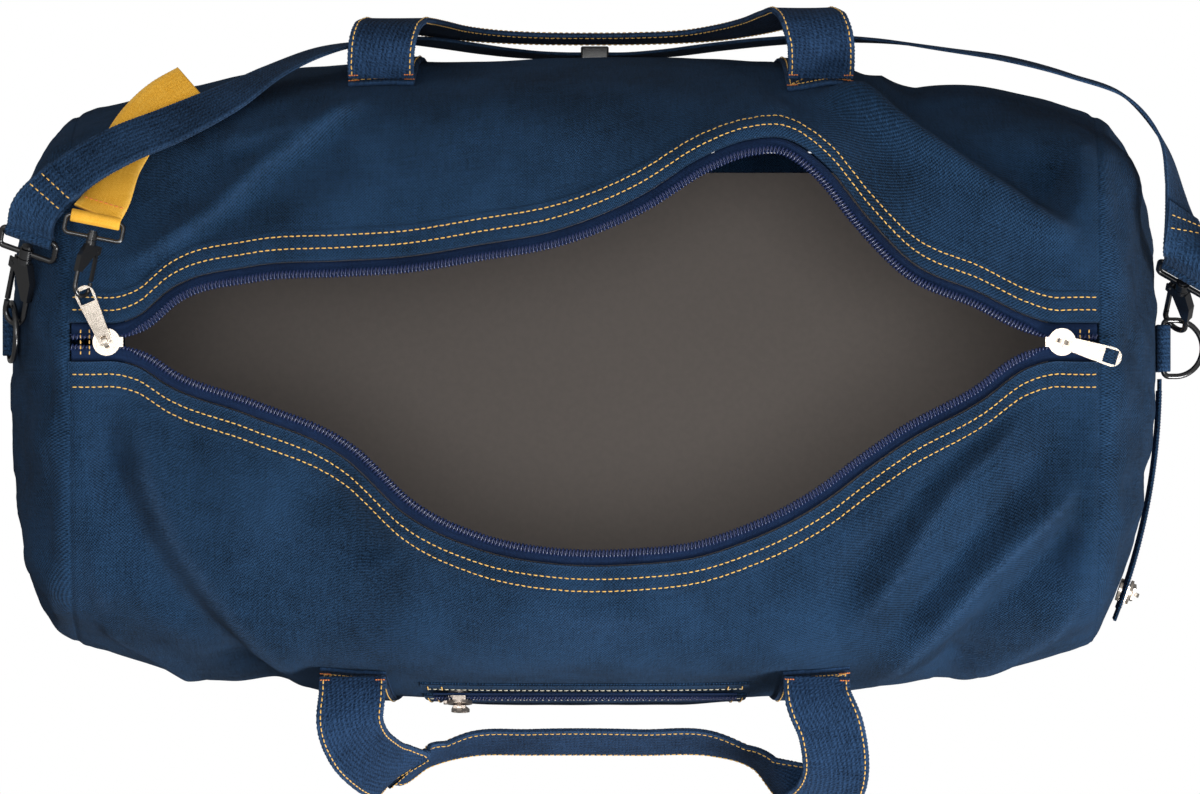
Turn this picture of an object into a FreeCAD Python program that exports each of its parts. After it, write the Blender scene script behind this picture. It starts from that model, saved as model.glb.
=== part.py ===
import FreeCAD, Part
import json
import math
import os
from FreeCAD import Placement, Rotation, Vector

# Weekender bag, millimetres. Origin: centre of the base's underside. +X along the bag,
# +Y towards the back panel, +Z up.

# Bag body
TOP_LENGTH = 526.0        # end seam to end seam along the top
BASE_LENGTH = 600.0       # end seam to end seam along the base
HEIGHT = 265.0            # height on which the panels' outline is drawn
LIP_HEIGHT = 262.0        # top of the canvas beside the closed zip
LIP_SAG = 9.0             # how far the open mouth's edge drops at its widest
BULGE_MIDDLE = 179.0      # half depth of the bag at the middle
BULGE_END = 148.0         # half depth of the bag at the end seams
BASE_HALF_DEPTH = 138.0   # half depth of the base
CANVAS = 2.0              # doubled canvas
DOME = 31.0               # how far an end panel stands out of its seam
DOME_CENTRE = 106.0       # height that the dome's outlines shrink towards
BOARD = 2.5               # stiffener thickness
BOARD_MARGIN = 12.0       # stiffener edge to base edge
BINDING = 1.6             # thickness of the seam binding
BINDING_WIDTH = 10.0
SEAT = 0.3                # gap between sewn layers

# Mouth: distance along the top, canvas edge at the back, canvas edge at the front
MOUTH = [
    (-263, 28, 8), (-250, 28, 8), (-238, 28, 8), (-227, 32, 5), (-213, 44, -4), (-170, 57, -20), (-122, 60, -42),
    (-92, 62, -70), (-55, 68, -88), (-13, 76, -96), (28, 93, -96), (60, 113, -92), (84, 122, -84),
    (104, 122, -75), (124, 108, -63), (145, 82, -47), (165, 61, -33), (203, 43, -12), (225, 32, 4),
    (238, 28, 8), (250, 28, 8), (263, 28, 8),
]
MOUTH_HALF = 263.0        # the half length on which MOUTH is drawn
ZIP_Y = 18.0              # line of the closed main zip
CANVAS_TO_TEETH = 8.7     # canvas edge to the inner edge of the teeth
CANVAS_TO_TAPE = 1.1      # canvas edge to the outer edge of the tape

# Zips: a slider rides on two coils sewn to two tapes
TAPE = 0.8                # tape thickness
TAPE_DROP = 1.2           # canvas top to tape top
COIL_WIDTH = 2.2
COIL_HEIGHT = 2.4
COIL_GAP = 2.6            # between the two coils' inner edges, where the slider's post runs
ZIP_PLAY = 0.35           # slider plates to coil and tape
SLIDER_RADIUS = 7.0
SLIDER_PLATE = 1.5
SLIDER_POST = 0.6         # half width of the post between the plates
PULL_LENGTH = 31.0
PULL_PLATE = 1.6
PULL_ROOT = 3.2           # half width at the hinge bar
PULL_TIP = 5.0            # half width at the tip
PULL_BAR = 0.95           # hinge bar radius
BRIDGE_INNER = 1.65
BRIDGE_OUTER = 3.15
BRIDGE_WIDTH = 2.2
MAIN_SLIDER_X = 243.0     # main sliders from the middle of the bag
LEFT_PULL_TURN = 112.0    # where the left pull points, degrees from +X
LEFT_PULL_TILT = 12.0     # and how far it is held up by the key hook
RIGHT_PULL_TURN = -17.0

# Front pocket
POCKET_HALF = 88.0
POCKET_LOW = 38.0
POCKET_ZIP_HEIGHT = 170.0
POCKET_ZIP_HALF = 82.0
POCKET_TOP = 190.0
TAPE_WIDTH = 6.0
POCKET_SLIDER_X = -68.0

# End pocket, on the right end panel: its zip follows a level arc round the front half
END_ARC = 369.0           # radius of the right end panel's front half in plan
END_ZIP_HEIGHT = 120.0
END_ZIP_STANDOFF = 1.6    # panel to the bottom of the slider
END_ZIP_FRONT = 20.0      # arc angles of the zip's two ends and of its slider
END_ZIP_BACK = 1.0
END_SLIDER_ANGLE = 18.4

# Handles
HANDLE_WIDTH = 35.0
HANDLE_THICK = 2.5
HANDLE_LOW = 30.0         # lower end of the sewn legs
HANDLE_FOOT = 214.0       # height of the bar tacks where the free loop starts
HANDLE_PLAY = 2.6         # leg end to loop end, room for the loop to swing
ROLL_RADIUS = 1.55        # the rolled webbing ends on which the loops turn
FRONT_ROLL = HANDLE_WIDTH + 0.6
BACK_ROLL = HANDLE_WIDTH - 0.6
HANDLE_STAND = 0.8        # how much further out the loop starts than the leg lies

# Shoulder strap hardware
STRAP_WIDTH = 25.0
STRAP_THICK = 1.8
RING_WIRE = 1.5           # wire radius
RING_INSIDE = 27.0
RING_SIDE = 3.5           # straight side before the arc
RING_PLAY = 0.4
TAB_LENGTH = 34.0
HOOK_ROLL_LEFT = 35.0

os.makedirs("parts", exist_ok=True)
PARTS = {}


def keep(name, *solids):
    """File one node: a single solid, or a group of separate ones."""
    shape = solids[0] if len(solids) == 1 else Part.makeCompound(list(solids))
    PARTS[name] = shape
    return shape


def spline(points):
    curve = Part.BSplineCurve()
    curve.interpolate(points)
    return curve.toShape()


def unit(v):
    return Vector(v).normalize()


def placed(shape, origin, x_axis, z_hint):
    """Move a shape from its own axes to an origin, an x axis and a near z axis."""
    x = unit(x_axis)
    y = unit(Vector(z_hint).cross(x))
    z = x.cross(y)
    moved = shape.copy()
    moved.Placement = Placement(Vector(origin), Rotation(x, y, z, "XYZ")).multiply(shape.Placement)
    return moved


# ---------------------------------------------------------------- bag body

LEAN = (BASE_LENGTH - TOP_LENGTH) / 2 / HEIGHT
SEAM_NORMAL = Vector(1, 0, LEAN).normalize()     # outward at the right end
SEAM_UP = Vector(-LEAN, 0, 1).normalize()


def station_x(s, z):
    """x of the section s (-1 to 1) at height z: the ends lean outward to the base."""
    return s * (TOP_LENGTH / 2 + LEAN * (HEIGHT - z))


def mouth_at(s):
    """Canvas edges at the back and front for section s."""
    x = s * MOUTH_HALF
    for (x0, b0, f0), (x1, b1, f1) in zip(MOUTH, MOUTH[1:]):
        if x <= x1:
            t = (x - x0) / (x1 - x0)
            return b0 + (b1 - b0) * t, f0 + (f1 - f0) * t
    return MOUTH[-1][1], MOUTH[-1][2]


def lip_height(s):
    back, front = mouth_at(s)
    return LIP_HEIGHT - LIP_SAG * (back - front - 20) / 200


def half_depth(s):
    return BULGE_MIDDLE - (BULGE_MIDDLE - BULGE_END) * abs(s) ** 3


def section(s, side, offset=0.0):
    """Points (y, z) of a side panel from base edge to lip, moved outward by offset."""
    back, front = mouth_at(s)
    lip = back if side > 0 else -front
    a = half_depth(s)
    top = lip_height(s)
    shoulder_y = 0.79 * a
    shoulder_z = 0.88 * HEIGHT
    closed = (shoulder_y - lip) / (shoulder_y + 20)
    points = [
        (BASE_HALF_DEPTH, 0),
        (a - 6, 0.15 * HEIGHT),
        (a, 0.42 * HEIGHT),
        (a - 13, 0.68 * HEIGHT),
        (shoulder_y, shoulder_z),
        ((shoulder_y + lip + 6) / 2, shoulder_z + (top - shoulder_z) * (0.55 + 0.25 * closed)),
        (lip + 6, top - 0.8),
        (lip, top),
    ]
    moved = []
    for i, (y, z) in enumerate(points):
        y0, z0 = points[max(i - 1, 0)]
        y1, z1 = points[min(i + 1, len(points) - 1)]
        length = math.hypot(y1 - y0, z1 - z0)
        if i == 0:
            moved.append((y + offset, z))
        else:
            moved.append((y + (z1 - z0) / length * offset, z - (y1 - y0) / length * offset))
    return [(side * y, z) for y, z in moved]


def side_shell(side, inner, outer):
    """The whole front or back panel as a shell between two offsets of its outline."""
    wires = []
    for x, _, _ in MOUTH:
        s = x / MOUTH_HALF
        out = [Vector(station_x(s, z), y, z) for y, z in section(s, side, outer)]
        into = [Vector(station_x(s, z), y, z) for y, z in section(s, side, inner)]
        edges = [
            spline(out),
            Part.makeLine(out[-1], into[-1]),
            spline(into[::-1]),
            Part.makeLine(into[0], out[0]),
        ]
        wires.append(Part.Wire(edges))
    return Part.makeLoft(wires, True, False)


front_panel = keep("front_panel", side_shell(-1, -CANVAS, 0))
back_panel = keep("back_panel", side_shell(1, -CANVAS, 0))

base_half_x = station_x(1, 0) - SEAT - CANVAS * LEAN
base_half_y = BASE_HALF_DEPTH - CANVAS - SEAT
keep("base_panel", Part.makeBox(2 * base_half_x, 2 * base_half_y, CANVAS, Vector(-base_half_x, -base_half_y, 0)))
board_x = base_half_x - 2 * BOARD_MARGIN
board_y = base_half_y - BOARD_MARGIN
keep("base_board", Part.makeBox(2 * board_x, 2 * board_y, BOARD, Vector(-board_x, -board_y, CANVAS + SEAT)))


def end_outline(end, inset, k_back, k_front, k_high, out):
    """Closed outline of an end, shrunk towards the dome's centre and moved out of the seam plane."""
    def point(y, z):
        k = k_back if y > 0 else k_front
        y = y * k
        z = DOME_CENTRE + (z - DOME_CENTRE) * k_high
        return Vector(end * (station_x(1, z) + SEAM_NORMAL.x * out), y, z + SEAM_NORMAL.z * out)

    back = section(1, 1, -inset)
    front = section(1, -1, -inset)
    back[0] = (back[0][0], inset)
    front[0] = (front[0][0], inset)
    back = [point(y, z) for y, z in back]
    front = [point(y, z) for y, z in front]
    edges = [
        spline(back),
        Part.makeLine(back[-1], front[-1]),
        spline(front[::-1]),
        Part.makeLine(front[0], back[0]),
    ]
    return Part.Wire(edges)


# Share of the outline in height, and how far out of the seam it stands there
FULL = [(1.0, 0.0), (0.95, 0.32), (0.88, 0.55), (0.78, 0.75), (0.65, 0.9), (0.5, 1.0)]


def arc_share(out):
    """Share of the half depth at which the end arc stands out by this much of the dome."""
    radial = END_ARC - DOME * (1 - out)
    return max(math.sqrt(END_ARC ** 2 - radial ** 2) / BULGE_END, 0.2)


def end_panel(end, round_front):
    def dome(inset, depth):
        wires = []
        for k, out in FULL:
            k_front = min(arc_share(out), 1.0) if round_front else k
            wires.append(end_outline(end, inset, k, k_front, k, out * depth))
        return Part.makeLoft(wires, True, False)

    return dome(0, DOME).cut(dome(CANVAS, DOME - CANVAS))


left_end = keep("left_end_panel", end_panel(-1, False))
right_end = keep("right_end_panel", end_panel(1, True))


def seam_binding(end):
    """Bias binding round the inside of an end seam, open where the zip crosses."""
    inward = Vector(-end * BINDING_WIDTH, 0, 0)
    outer = Part.Face(end_outline(end, CANVAS + 2 * SEAT, 1, 1, 1, 0)).extrude(inward)
    inner = Part.Face(end_outline(end, CANVAS + 2 * SEAT + BINDING, 1, 1, 1, 0)).extrude(inward)
    slot = Part.makeBox(2 * BASE_LENGTH, 50, 40, Vector(-BASE_LENGTH, ZIP_Y - 25, LIP_HEIGHT - 20))
    ring = outer.cut(inner).cut(slot)
    return ring


keep("left_seam_binding", seam_binding(-1))
keep("right_seam_binding", seam_binding(1))


# ---------------------------------------------------------------- main zip

TAPE_Z = -TAPE_DROP - TAPE         # tape underside below the canvas top
COIL_Z = -TAPE_DROP + 0.1          # coil underside


def mouth_strip(side, near, far, low, high):
    """A flat strip that follows the mouth, between two distances from the canvas edge."""
    wires = []
    last = (MOUTH_HALF - 1.5) / MOUTH_HALF
    for x, back, front in MOUTH:
        s = max(-last, min(last, x / MOUTH_HALF))
        lip = back if side > 0 else front
        z = lip_height(x / MOUTH_HALF)
        corners = [(near, low), (far, low), (far, high), (near, high)]
        ring = [Vector(station_x(s, LIP_HEIGHT), lip - side * d, z + h) for d, h in corners]
        wires.append(Part.makePolygon(ring + ring[:1]))
    return Part.makeLoft(wires, True, False)


teeth = CANVAS_TO_TEETH
for side, word in ((-1, "front"), (1, "back")):
    keep("main_zip_tape_" + word, mouth_strip(side, CANVAS_TO_TAPE, teeth, TAPE_Z, TAPE_Z + TAPE))
    keep("main_zip_coil_" + word, mouth_strip(side, teeth - COIL_WIDTH, teeth, COIL_Z, COIL_Z + COIL_HEIGHT))


def slider_body(nose):
    """Slider on its coils: x along the zip, z = 0 at the canvas top, nose towards nose * x."""
    low = TAPE_Z - ZIP_PLAY - SLIDER_PLATE
    top = COIL_Z + COIL_HEIGHT + ZIP_PLAY
    upper = Part.makeCylinder(SLIDER_RADIUS, SLIDER_PLATE, Vector(0, 0, top))
    crown = Part.makeBox(3.0, 5.0, SLIDER_PLATE, Vector(-1.5 + nose * SLIDER_RADIUS, -2.5, top))
    lower = Part.makeCylinder(SLIDER_RADIUS - 0.6, SLIDER_PLATE, Vector(0, 0, low))
    post = Part.makeBox(3.0, 2 * SLIDER_POST, top - low, Vector(-1.5 + nose * 4.6, -SLIDER_POST, low + 0.5))
    flange_y = COIL_GAP / 2 + COIL_WIDTH + 0.5
    drop = top - (TAPE_Z + TAPE + ZIP_PLAY)
    body = upper.fuse([crown, lower, post])
    for way in (-1, 1):
        low_y = flange_y if way > 0 else -flange_y - 1.1
        body = body.fuse(Part.makeBox(7.0, 1.1, drop + 0.5, Vector(-3.5, low_y, top - drop)))
    return body


BAR_Z = COIL_Z + COIL_HEIGHT + ZIP_PLAY + SLIDER_PLATE + BRIDGE_INNER


def bridge(turn):
    """Loop on top of the slider that carries the pull's hinge bar."""
    ring = Part.makeCylinder(BRIDGE_OUTER, BRIDGE_WIDTH, Vector(0, -BRIDGE_WIDTH / 2, 0), Vector(0, 1, 0))
    ring = ring.cut(Part.makeCylinder(BRIDGE_INNER, BRIDGE_WIDTH, Vector(0, -BRIDGE_WIDTH / 2, 0), Vector(0, 1, 0)))
    ring.rotate(Vector(0, 0, 0), Vector(0, 0, 1), turn)
    ring.translate(Vector(0, 0, BAR_Z))
    return ring


def pull_tab(length, hole):
    """Pull from its hinge bar at the origin along +x, plate in the xy plane."""
    tip = length - PULL_TIP
    outline = [
        Vector(-PULL_BAR, -PULL_ROOT, 0), Vector(tip, -PULL_TIP, 0),
        Vector(tip, PULL_TIP, 0), Vector(-PULL_BAR, PULL_ROOT, 0),
    ]
    half = Vector(0, 0, -PULL_PLATE / 2)
    up = Vector(0, 0, PULL_PLATE)
    plate = Part.Face(Part.makePolygon([p + half for p in outline + outline[:1]])).extrude(up)
    plate = plate.fuse(Part.makeCylinder(PULL_TIP, PULL_PLATE, Vector(tip, 0, -PULL_PLATE / 2)))
    eye_end = BRIDGE_OUTER + 0.6
    eye_half = BRIDGE_WIDTH / 2 + 0.5
    eye = Part.makeBox(eye_end - PULL_BAR, 2 * eye_half, 4, Vector(PULL_BAR, -eye_half, -2))
    hole_half = PULL_TIP - 1.3
    opening = Part.makeBox(hole, 2 * hole_half, 4, Vector(length - 2.2 - hole, -hole_half, -2))
    bar = Part.makeCylinder(PULL_BAR, 2 * PULL_ROOT, Vector(0, -PULL_ROOT, 0), Vector(0, 1, 0))
    return plate.fuse(bar).cut(eye).cut(opening)


def turned(degrees_from_x, tilt=0.0):
    a = math.radians(degrees_from_x)
    t = math.radians(tilt)
    return Vector(math.cos(a) * math.cos(t), math.sin(a) * math.cos(t), math.sin(t))


up = Vector(0, 0, 1)
left_at = Vector(-MAIN_SLIDER_X, ZIP_Y, LIP_HEIGHT)
right_at = Vector(MAIN_SLIDER_X, ZIP_Y, LIP_HEIGHT)
left_slider = slider_body(1).fuse(bridge(LEFT_PULL_TURN))
left_slider.translate(left_at)
keep("left_slider", left_slider)
right_slider = slider_body(-1).fuse(bridge(RIGHT_PULL_TURN))
right_slider.translate(right_at)
keep("right_slider", right_slider)
left_bar = left_at + Vector(0, 0, BAR_Z)
right_bar = right_at + Vector(0, 0, BAR_Z)
left_pull = keep("left_pull", placed(pull_tab(PULL_LENGTH, 7.0), left_bar, turned(LEFT_PULL_TURN, LEFT_PULL_TILT), up))
keep("right_pull", placed(pull_tab(PULL_LENGTH, 7.0), right_bar, turned(RIGHT_PULL_TURN), up))


# ---------------------------------------------------------------- pockets

FAR = 2 * BASE_LENGTH


def patch(side, x_low, x_high, z_low, z_high, inner, outer):
    """A flat sewn layer that follows the side panel between two offsets."""
    y = 0 if side > 0 else -FAR
    box = Part.makeBox(x_high - x_low, FAR, z_high - z_low, Vector(x_low, y, z_low))
    return side_shell(side, inner, outer).common(box)


def skin_point(side, z, offset):
    """Point on the middle section of a side panel at height z, and its outward and upward directions."""
    curve = spline([Vector(0, y, h) for y, h in section(0, side, offset)])
    line = Part.makeLine(Vector(0, side * BASE_HALF_DEPTH * 0.8, z), Vector(0, side * FAR, z))
    at = curve.distToShape(line)[1][0][0]
    step = curve.Curve.tangent(curve.Curve.parameter(at))[0]
    step = step if step.z > 0 else step * -1
    return at, unit(Vector(0, side * step.z, -side * step.y)), step


PATCH_OUT = SEAT + CANVAS
keep("front_pocket", patch(-1, -POCKET_HALF, POCKET_HALF, POCKET_LOW, POCKET_ZIP_HEIGHT - 11, SEAT, PATCH_OUT))
keep("front_pocket_facing", patch(-1, -POCKET_HALF, POCKET_HALF, POCKET_ZIP_HEIGHT + 11, POCKET_TOP, SEAT, PATCH_OUT))

ZIP_BASE = TAPE_Z - ZIP_PLAY - SLIDER_PLATE      # lowest face of a slider
zip_at, zip_out, zip_up = skin_point(-1, POCKET_ZIP_HEIGHT, SEAT - ZIP_BASE)


def straight_zip(half):
    """Two tapes and two coils of a closed zip along x, canvas top at z = 0."""
    tapes, coils = [], []
    for way in (-1, 1):
        edge = COIL_GAP / 2
        tape_y = edge if way > 0 else -edge - TAPE_WIDTH
        coil_y = edge if way > 0 else -edge - COIL_WIDTH
        tapes.append(Part.makeBox(2 * half, TAPE_WIDTH, TAPE, Vector(-half, tape_y, TAPE_Z)))
        coils.append(Part.makeBox(2 * half, COIL_WIDTH, COIL_HEIGHT, Vector(-half, coil_y, COIL_Z)))
    return tapes, coils


def on_pocket(shape):
    return placed(shape, zip_at, Vector(1, 0, 0), zip_out)


tapes, coils = straight_zip(POCKET_ZIP_HALF)
keep("front_pocket_zip_tape", *[on_pocket(t) for t in tapes])
keep("front_pocket_zip_coil", *[on_pocket(c) for c in coils])
pocket_slider = slider_body(-1).fuse(bridge(-90))
pocket_slider.translate(Vector(POCKET_SLIDER_X, 0, 0))
keep("front_pocket_slider", on_pocket(pocket_slider))
SMALL_PULL = 19.0
pocket_pull = placed(pull_tab(SMALL_PULL, 5.0), Vector(POCKET_SLIDER_X, 0, BAR_Z), turned(-90), up)
keep("front_pocket_pull", on_pocket(pocket_pull))

# The end pocket's zip: everything turns about the centre of the panel's arc
arc_centre = Vector(station_x(1, END_ZIP_HEIGHT), 0, END_ZIP_HEIGHT) + SEAM_NORMAL * (DOME - END_ARC)
arc_skin = END_ARC + END_ZIP_STANDOFF - ZIP_BASE


def on_arc(low_r, high_r, low_w, high_w, angle_front, angle_back):
    """A strip round the arc: radii above the zip's canvas level, widths across it."""
    corners = [(low_r, low_w), (high_r, low_w), (high_r, high_w), (low_r, high_w)]
    ring = [arc_centre + SEAM_NORMAL * (arc_skin + r) + SEAM_UP * w for r, w in corners]
    strip = Part.Face(Part.makePolygon(ring + ring[:1])).revolve(arc_centre, SEAM_UP, angle_front - angle_back)
    strip.rotate(arc_centre, SEAM_UP, -angle_front)
    return strip


end_tapes, end_coils = [], []
for way in (-1, 1):
    edge = COIL_GAP / 2
    tape_w = sorted((way * edge, way * (edge + TAPE_WIDTH)))
    coil_w = sorted((way * edge, way * (edge + COIL_WIDTH)))
    end_tapes.append(on_arc(TAPE_Z, TAPE_Z + TAPE, *tape_w, END_ZIP_FRONT, END_ZIP_BACK))
    end_coils.append(on_arc(COIL_Z, COIL_Z + COIL_HEIGHT, *coil_w, END_ZIP_FRONT, END_ZIP_BACK))
keep("end_pocket_zip_tape", *end_tapes)
keep("end_pocket_zip_coil", *end_coils)
POUCH_DEPTH = 70.0
pouch_out = ZIP_BASE - END_ZIP_STANDOFF - CANVAS - 2.0
keep("end_pocket_pouch", on_arc(pouch_out - 2, pouch_out, -POUCH_DEPTH, 4, END_ZIP_FRONT - 3, END_ZIP_BACK))


def at_end_slider(shape):
    """From the zip's own axes to the end slider's place on the arc."""
    moved = placed(shape, arc_centre + SEAM_NORMAL * arc_skin, Vector(0, 1, 0), SEAM_NORMAL)
    moved.rotate(arc_centre, SEAM_UP, -END_SLIDER_ANGLE)
    return moved


keep("end_pocket_slider", at_end_slider(slider_body(-1).fuse(bridge(-90))))
keep("end_pocket_pull", at_end_slider(placed(pull_tab(SMALL_PULL, 5.0), Vector(0, 0, BAR_Z), turned(-90), up)))


# ---------------------------------------------------------------- handles

# Free loops: centre line and the strap's width direction at each point, relative to the foot
FRONT_LOOP = [
    ((-122, 0, 0), (1, 0, 0)), ((-122, -8, 4), (1, 0, 0)), ((-123, -23, 6), (0.99, 0.1, -0.1)),
    ((-119, -37, -3), (0.93, 0.2, -0.3)), ((-112, -47, -16), (0.8, 0.26, -0.55)),
    ((-104, -54, -34), (0.62, 0.24, -0.75)), ((-95, -54, -53), (0.45, 0.05, -0.9)),
    ((-82, -49, -67), (0.25, -0.2, -0.95)), ((-64, -44, -73), (0.08, -0.42, -0.9)),
    ((-30, -43, -74), (0, -0.47, -0.88)), ((30, -43, -73), (0, -0.47, -0.88)),
    ((72, -44, -71), (-0.08, -0.42, -0.9)), ((92, -51, -67), (-0.25, -0.2, -0.95)),
    ((105, -61, -56), (-0.45, 0, -0.9)), ((117, -69, -40), (-0.7, 0.1, -0.7)),
    ((127, -67, -20), (-0.9, 0.1, -0.35)), ((132, -52, -4), (-0.99, 0.05, -0.1)),
    ((129, -27, 5), (-1, 0, 0)), ((122, -8, 4), (-1, 0, 0)), ((122, 0, 0), (-1, 0, 0)),
]
BACK_LOOP = [
    ((-107, 0, 0), (1, 0, 0)), ((-107, 8, 4), (1, 0, 0)), ((-106, 18, 6), (1, 0, 0)), ((-104, 26, 1), (1, 0, 0)),
    ((-101, 31, -10), (1, 0, 0)), ((-97, 33, -28), (1, 0, 0.15)), ((-90, 34, -50), (0.97, 0, 0.25)),
    ((-78, 34, -75), (0.85, 0, 0.5)), ((-57, 34, -97), (0.6, 0, 0.8)), ((-30, 34, -109), (0.25, 0, 0.97)),
    ((0, 34, -112), (0, 0, 1)), ((34, 34, -109), (-0.25, 0, 0.97)), ((63, 34, -97), (-0.6, 0, 0.8)),
    ((86, 35, -75), (-0.85, 0, 0.5)), ((101, 36, -50), (-0.97, 0, 0.25)), ((110, 37, -26), (-1, 0, 0.15)),
    ((116, 36, -6), (-1, 0, 0)), ((120, 29, 7), (-1, 0, 0)), ((123, 19, 10), (-1, 0, 0)), ((124, 9, 5), (-1, 0, 0)),
    ((124, 0, 0), (-1, 0, 0)),
]


def strap_loft(stations, width, thick):
    """A flat strap through (centre, width direction) stations: one smooth solid."""
    wires = []
    centres = [Vector(c) for c, _ in stations]
    for i, (_, w) in enumerate(stations):
        run = unit(centres[min(i + 1, len(centres) - 1)] - centres[max(i - 1, 0)])
        side = unit(Vector(w) - run * run.dot(Vector(w)))
        face = run.cross(side)
        ring = []
        for u, v in ((-1, -1), (1, -1), (1, 1), (-1, 1)):
            ring.append(centres[i] + side * (u * width / 2) + face * (v * thick / 2))
        wires.append(Part.makePolygon(ring + ring[:1]))
    return Part.makeLoft(wires, True, False)


def doubled(stations):
    """The same stations with one more on a smooth line between each two."""
    places = [Vector(c) for c, _ in stations]
    widths = [Vector(w) for _, w in stations]
    last = len(stations) - 1
    rows = []
    for i in range(last):
        near = places[i] + places[i + 1]
        far = places[max(i - 1, 0)] + places[min(i + 2, last)]
        rows.append((tuple(places[i]), tuple(widths[i])))
        rows.append((tuple(near * 0.5625 - far * 0.0625), tuple((widths[i] + widths[i + 1]) * 0.5)))
    rows.append((tuple(places[last]), tuple(widths[last])))
    return rows


LEG_MIDDLE = SEAT + HANDLE_THICK / 2
feet = {}
SIDES = (
    (-1, "front", FRONT_LOOP, FRONT_ROLL),
    (1, "back", doubled(BACK_LOOP)[::-1], BACK_ROLL),
)
for side, word, loop, roll in SIDES:
    foot, foot_out, foot_up = skin_point(side, HANDLE_FOOT, LEG_MIDDLE + HANDLE_STAND)
    feet[word] = foot
    stations = [((x, foot.y + y, foot.z + z), w) for (x, y, z), w in loop]
    free = strap_loft(stations, HANDLE_WIDTH, HANDLE_THICK)
    half = HANDLE_WIDTH / 2
    top = foot.z - HANDLE_PLAY
    for middle in (loop[0][0][0], loop[-1][0][0]):
        hand = "left" if middle < 0 else "right"
        leg = patch(side, middle - half, middle + half, HANDLE_LOW, top, SEAT, SEAT + HANDLE_THICK)
        keep(word + "_handle_" + hand + "_leg", leg)
        corner = Vector(middle - roll / 2, foot.y, foot.z)
        free = free.fuse(Part.makeCylinder(ROLL_RADIUS, roll, corner, Vector(1, 0, 0)))
    keep(word + "_handle", free)


# ---------------------------------------------------------------- rings, tabs and hooks


def wire_along(points, radius, bend, closed=False):
    """Round wire along straight runs whose corners are arcs of radius bend."""
    edges = []
    count = len(points)
    starts, ends = list(points), list(points)
    arcs = {}
    corners = range(count) if closed else range(1, count - 1)
    for i in corners:
        p = points[i]
        a = unit(points[i - 1] - p)
        b = unit(points[(i + 1) % count] - p)
        half = a.getAngle(b) / 2
        cut = bend / math.tan(half)
        ends[i] = p + a * cut
        starts[i] = p + b * cut
        middle = p + unit(a + b) * (bend / math.sin(half) - bend)
        arcs[i] = Part.Arc(ends[i], middle, starts[i]).toShape()
    for i in range(count if closed else count - 1):
        j = (i + 1) % count
        if starts[i].distanceToPoint(ends[j]) > 0.01:
            edges.append(Part.makeLine(starts[i], ends[j]))
        if j in arcs:
            edges.append(arcs[j])
    path = Part.Wire(edges)
    first = path.Edges[0]
    start = first.valueAt(first.FirstParameter)
    along = first.tangentAt(first.FirstParameter)
    circle = Part.Wire(Part.makeCircle(radius, start, along))
    return path.makePipeShell([circle], True, True)


def d_ring():
    """D-ring: bar centre at the origin along y, arc towards +x."""
    half = RING_INSIDE / 2 + RING_WIRE
    corner = 3.0
    bar = Part.makeCylinder(RING_WIRE, 2 * (half - corner), Vector(0, corner - half, 0), Vector(0, 1, 0))
    ring = bar
    for way in (-1, 1):
        centre = Vector(corner, way * (half - corner), 0)
        bend = Part.makeTorus(corner, RING_WIRE, Vector(0, 0, 0), Vector(0, 0, 1), -180, 180, 90)
        bend.rotate(Vector(0, 0, 0), Vector(0, 0, 1), 90 if way > 0 else 180)
        bend.translate(centre)
        side = Part.makeCylinder(RING_WIRE, RING_SIDE, Vector(corner, way * half, 0), Vector(1, 0, 0))
        ring = ring.fuse([bend, side])
    arc = Part.makeTorus(half, RING_WIRE, Vector(0, 0, 0), Vector(0, 0, 1), -180, 180, 180)
    arc.rotate(Vector(0, 0, 0), Vector(0, 0, 1), -90)
    arc.translate(Vector(corner + RING_SIDE, 0, 0))
    return ring.fuse(arc)


TAB_EYE = RING_WIRE + RING_PLAY
TAB_OUT = TAB_EYE + STRAP_THICK


def ring_tab(length):
    """Folded webbing that holds the ring's bar: bar along y at the origin, legs towards -x, bag below -z."""
    start = Vector(0, -STRAP_WIDTH / 2, 0)
    loop = Part.makeCylinder(TAB_OUT, STRAP_WIDTH, start, Vector(0, 1, 0))
    legs = Part.makeBox(length, STRAP_WIDTH, 2 * STRAP_THICK, Vector(-length, -STRAP_WIDTH / 2, -TAB_OUT))
    return loop.fuse(legs).cut(Part.makeCylinder(TAB_EYE, STRAP_WIDTH, start, Vector(0, 1, 0)))


def seated(shapes, direction, against, gap=SEAT):
    """Move shapes, which start well clear, along direction until the first is gap away from against."""
    travel = Vector(0, 0, 0)
    for _ in range(6):
        probe = shapes[0].copy()
        probe.translate(travel)
        travel = travel + direction * (probe.distToShape(against)[0] - gap)
    moved = []
    for shape in shapes:
        copy = shape.copy()
        copy.translate(travel)
        moved.append(copy)
    return moved, travel


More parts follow.
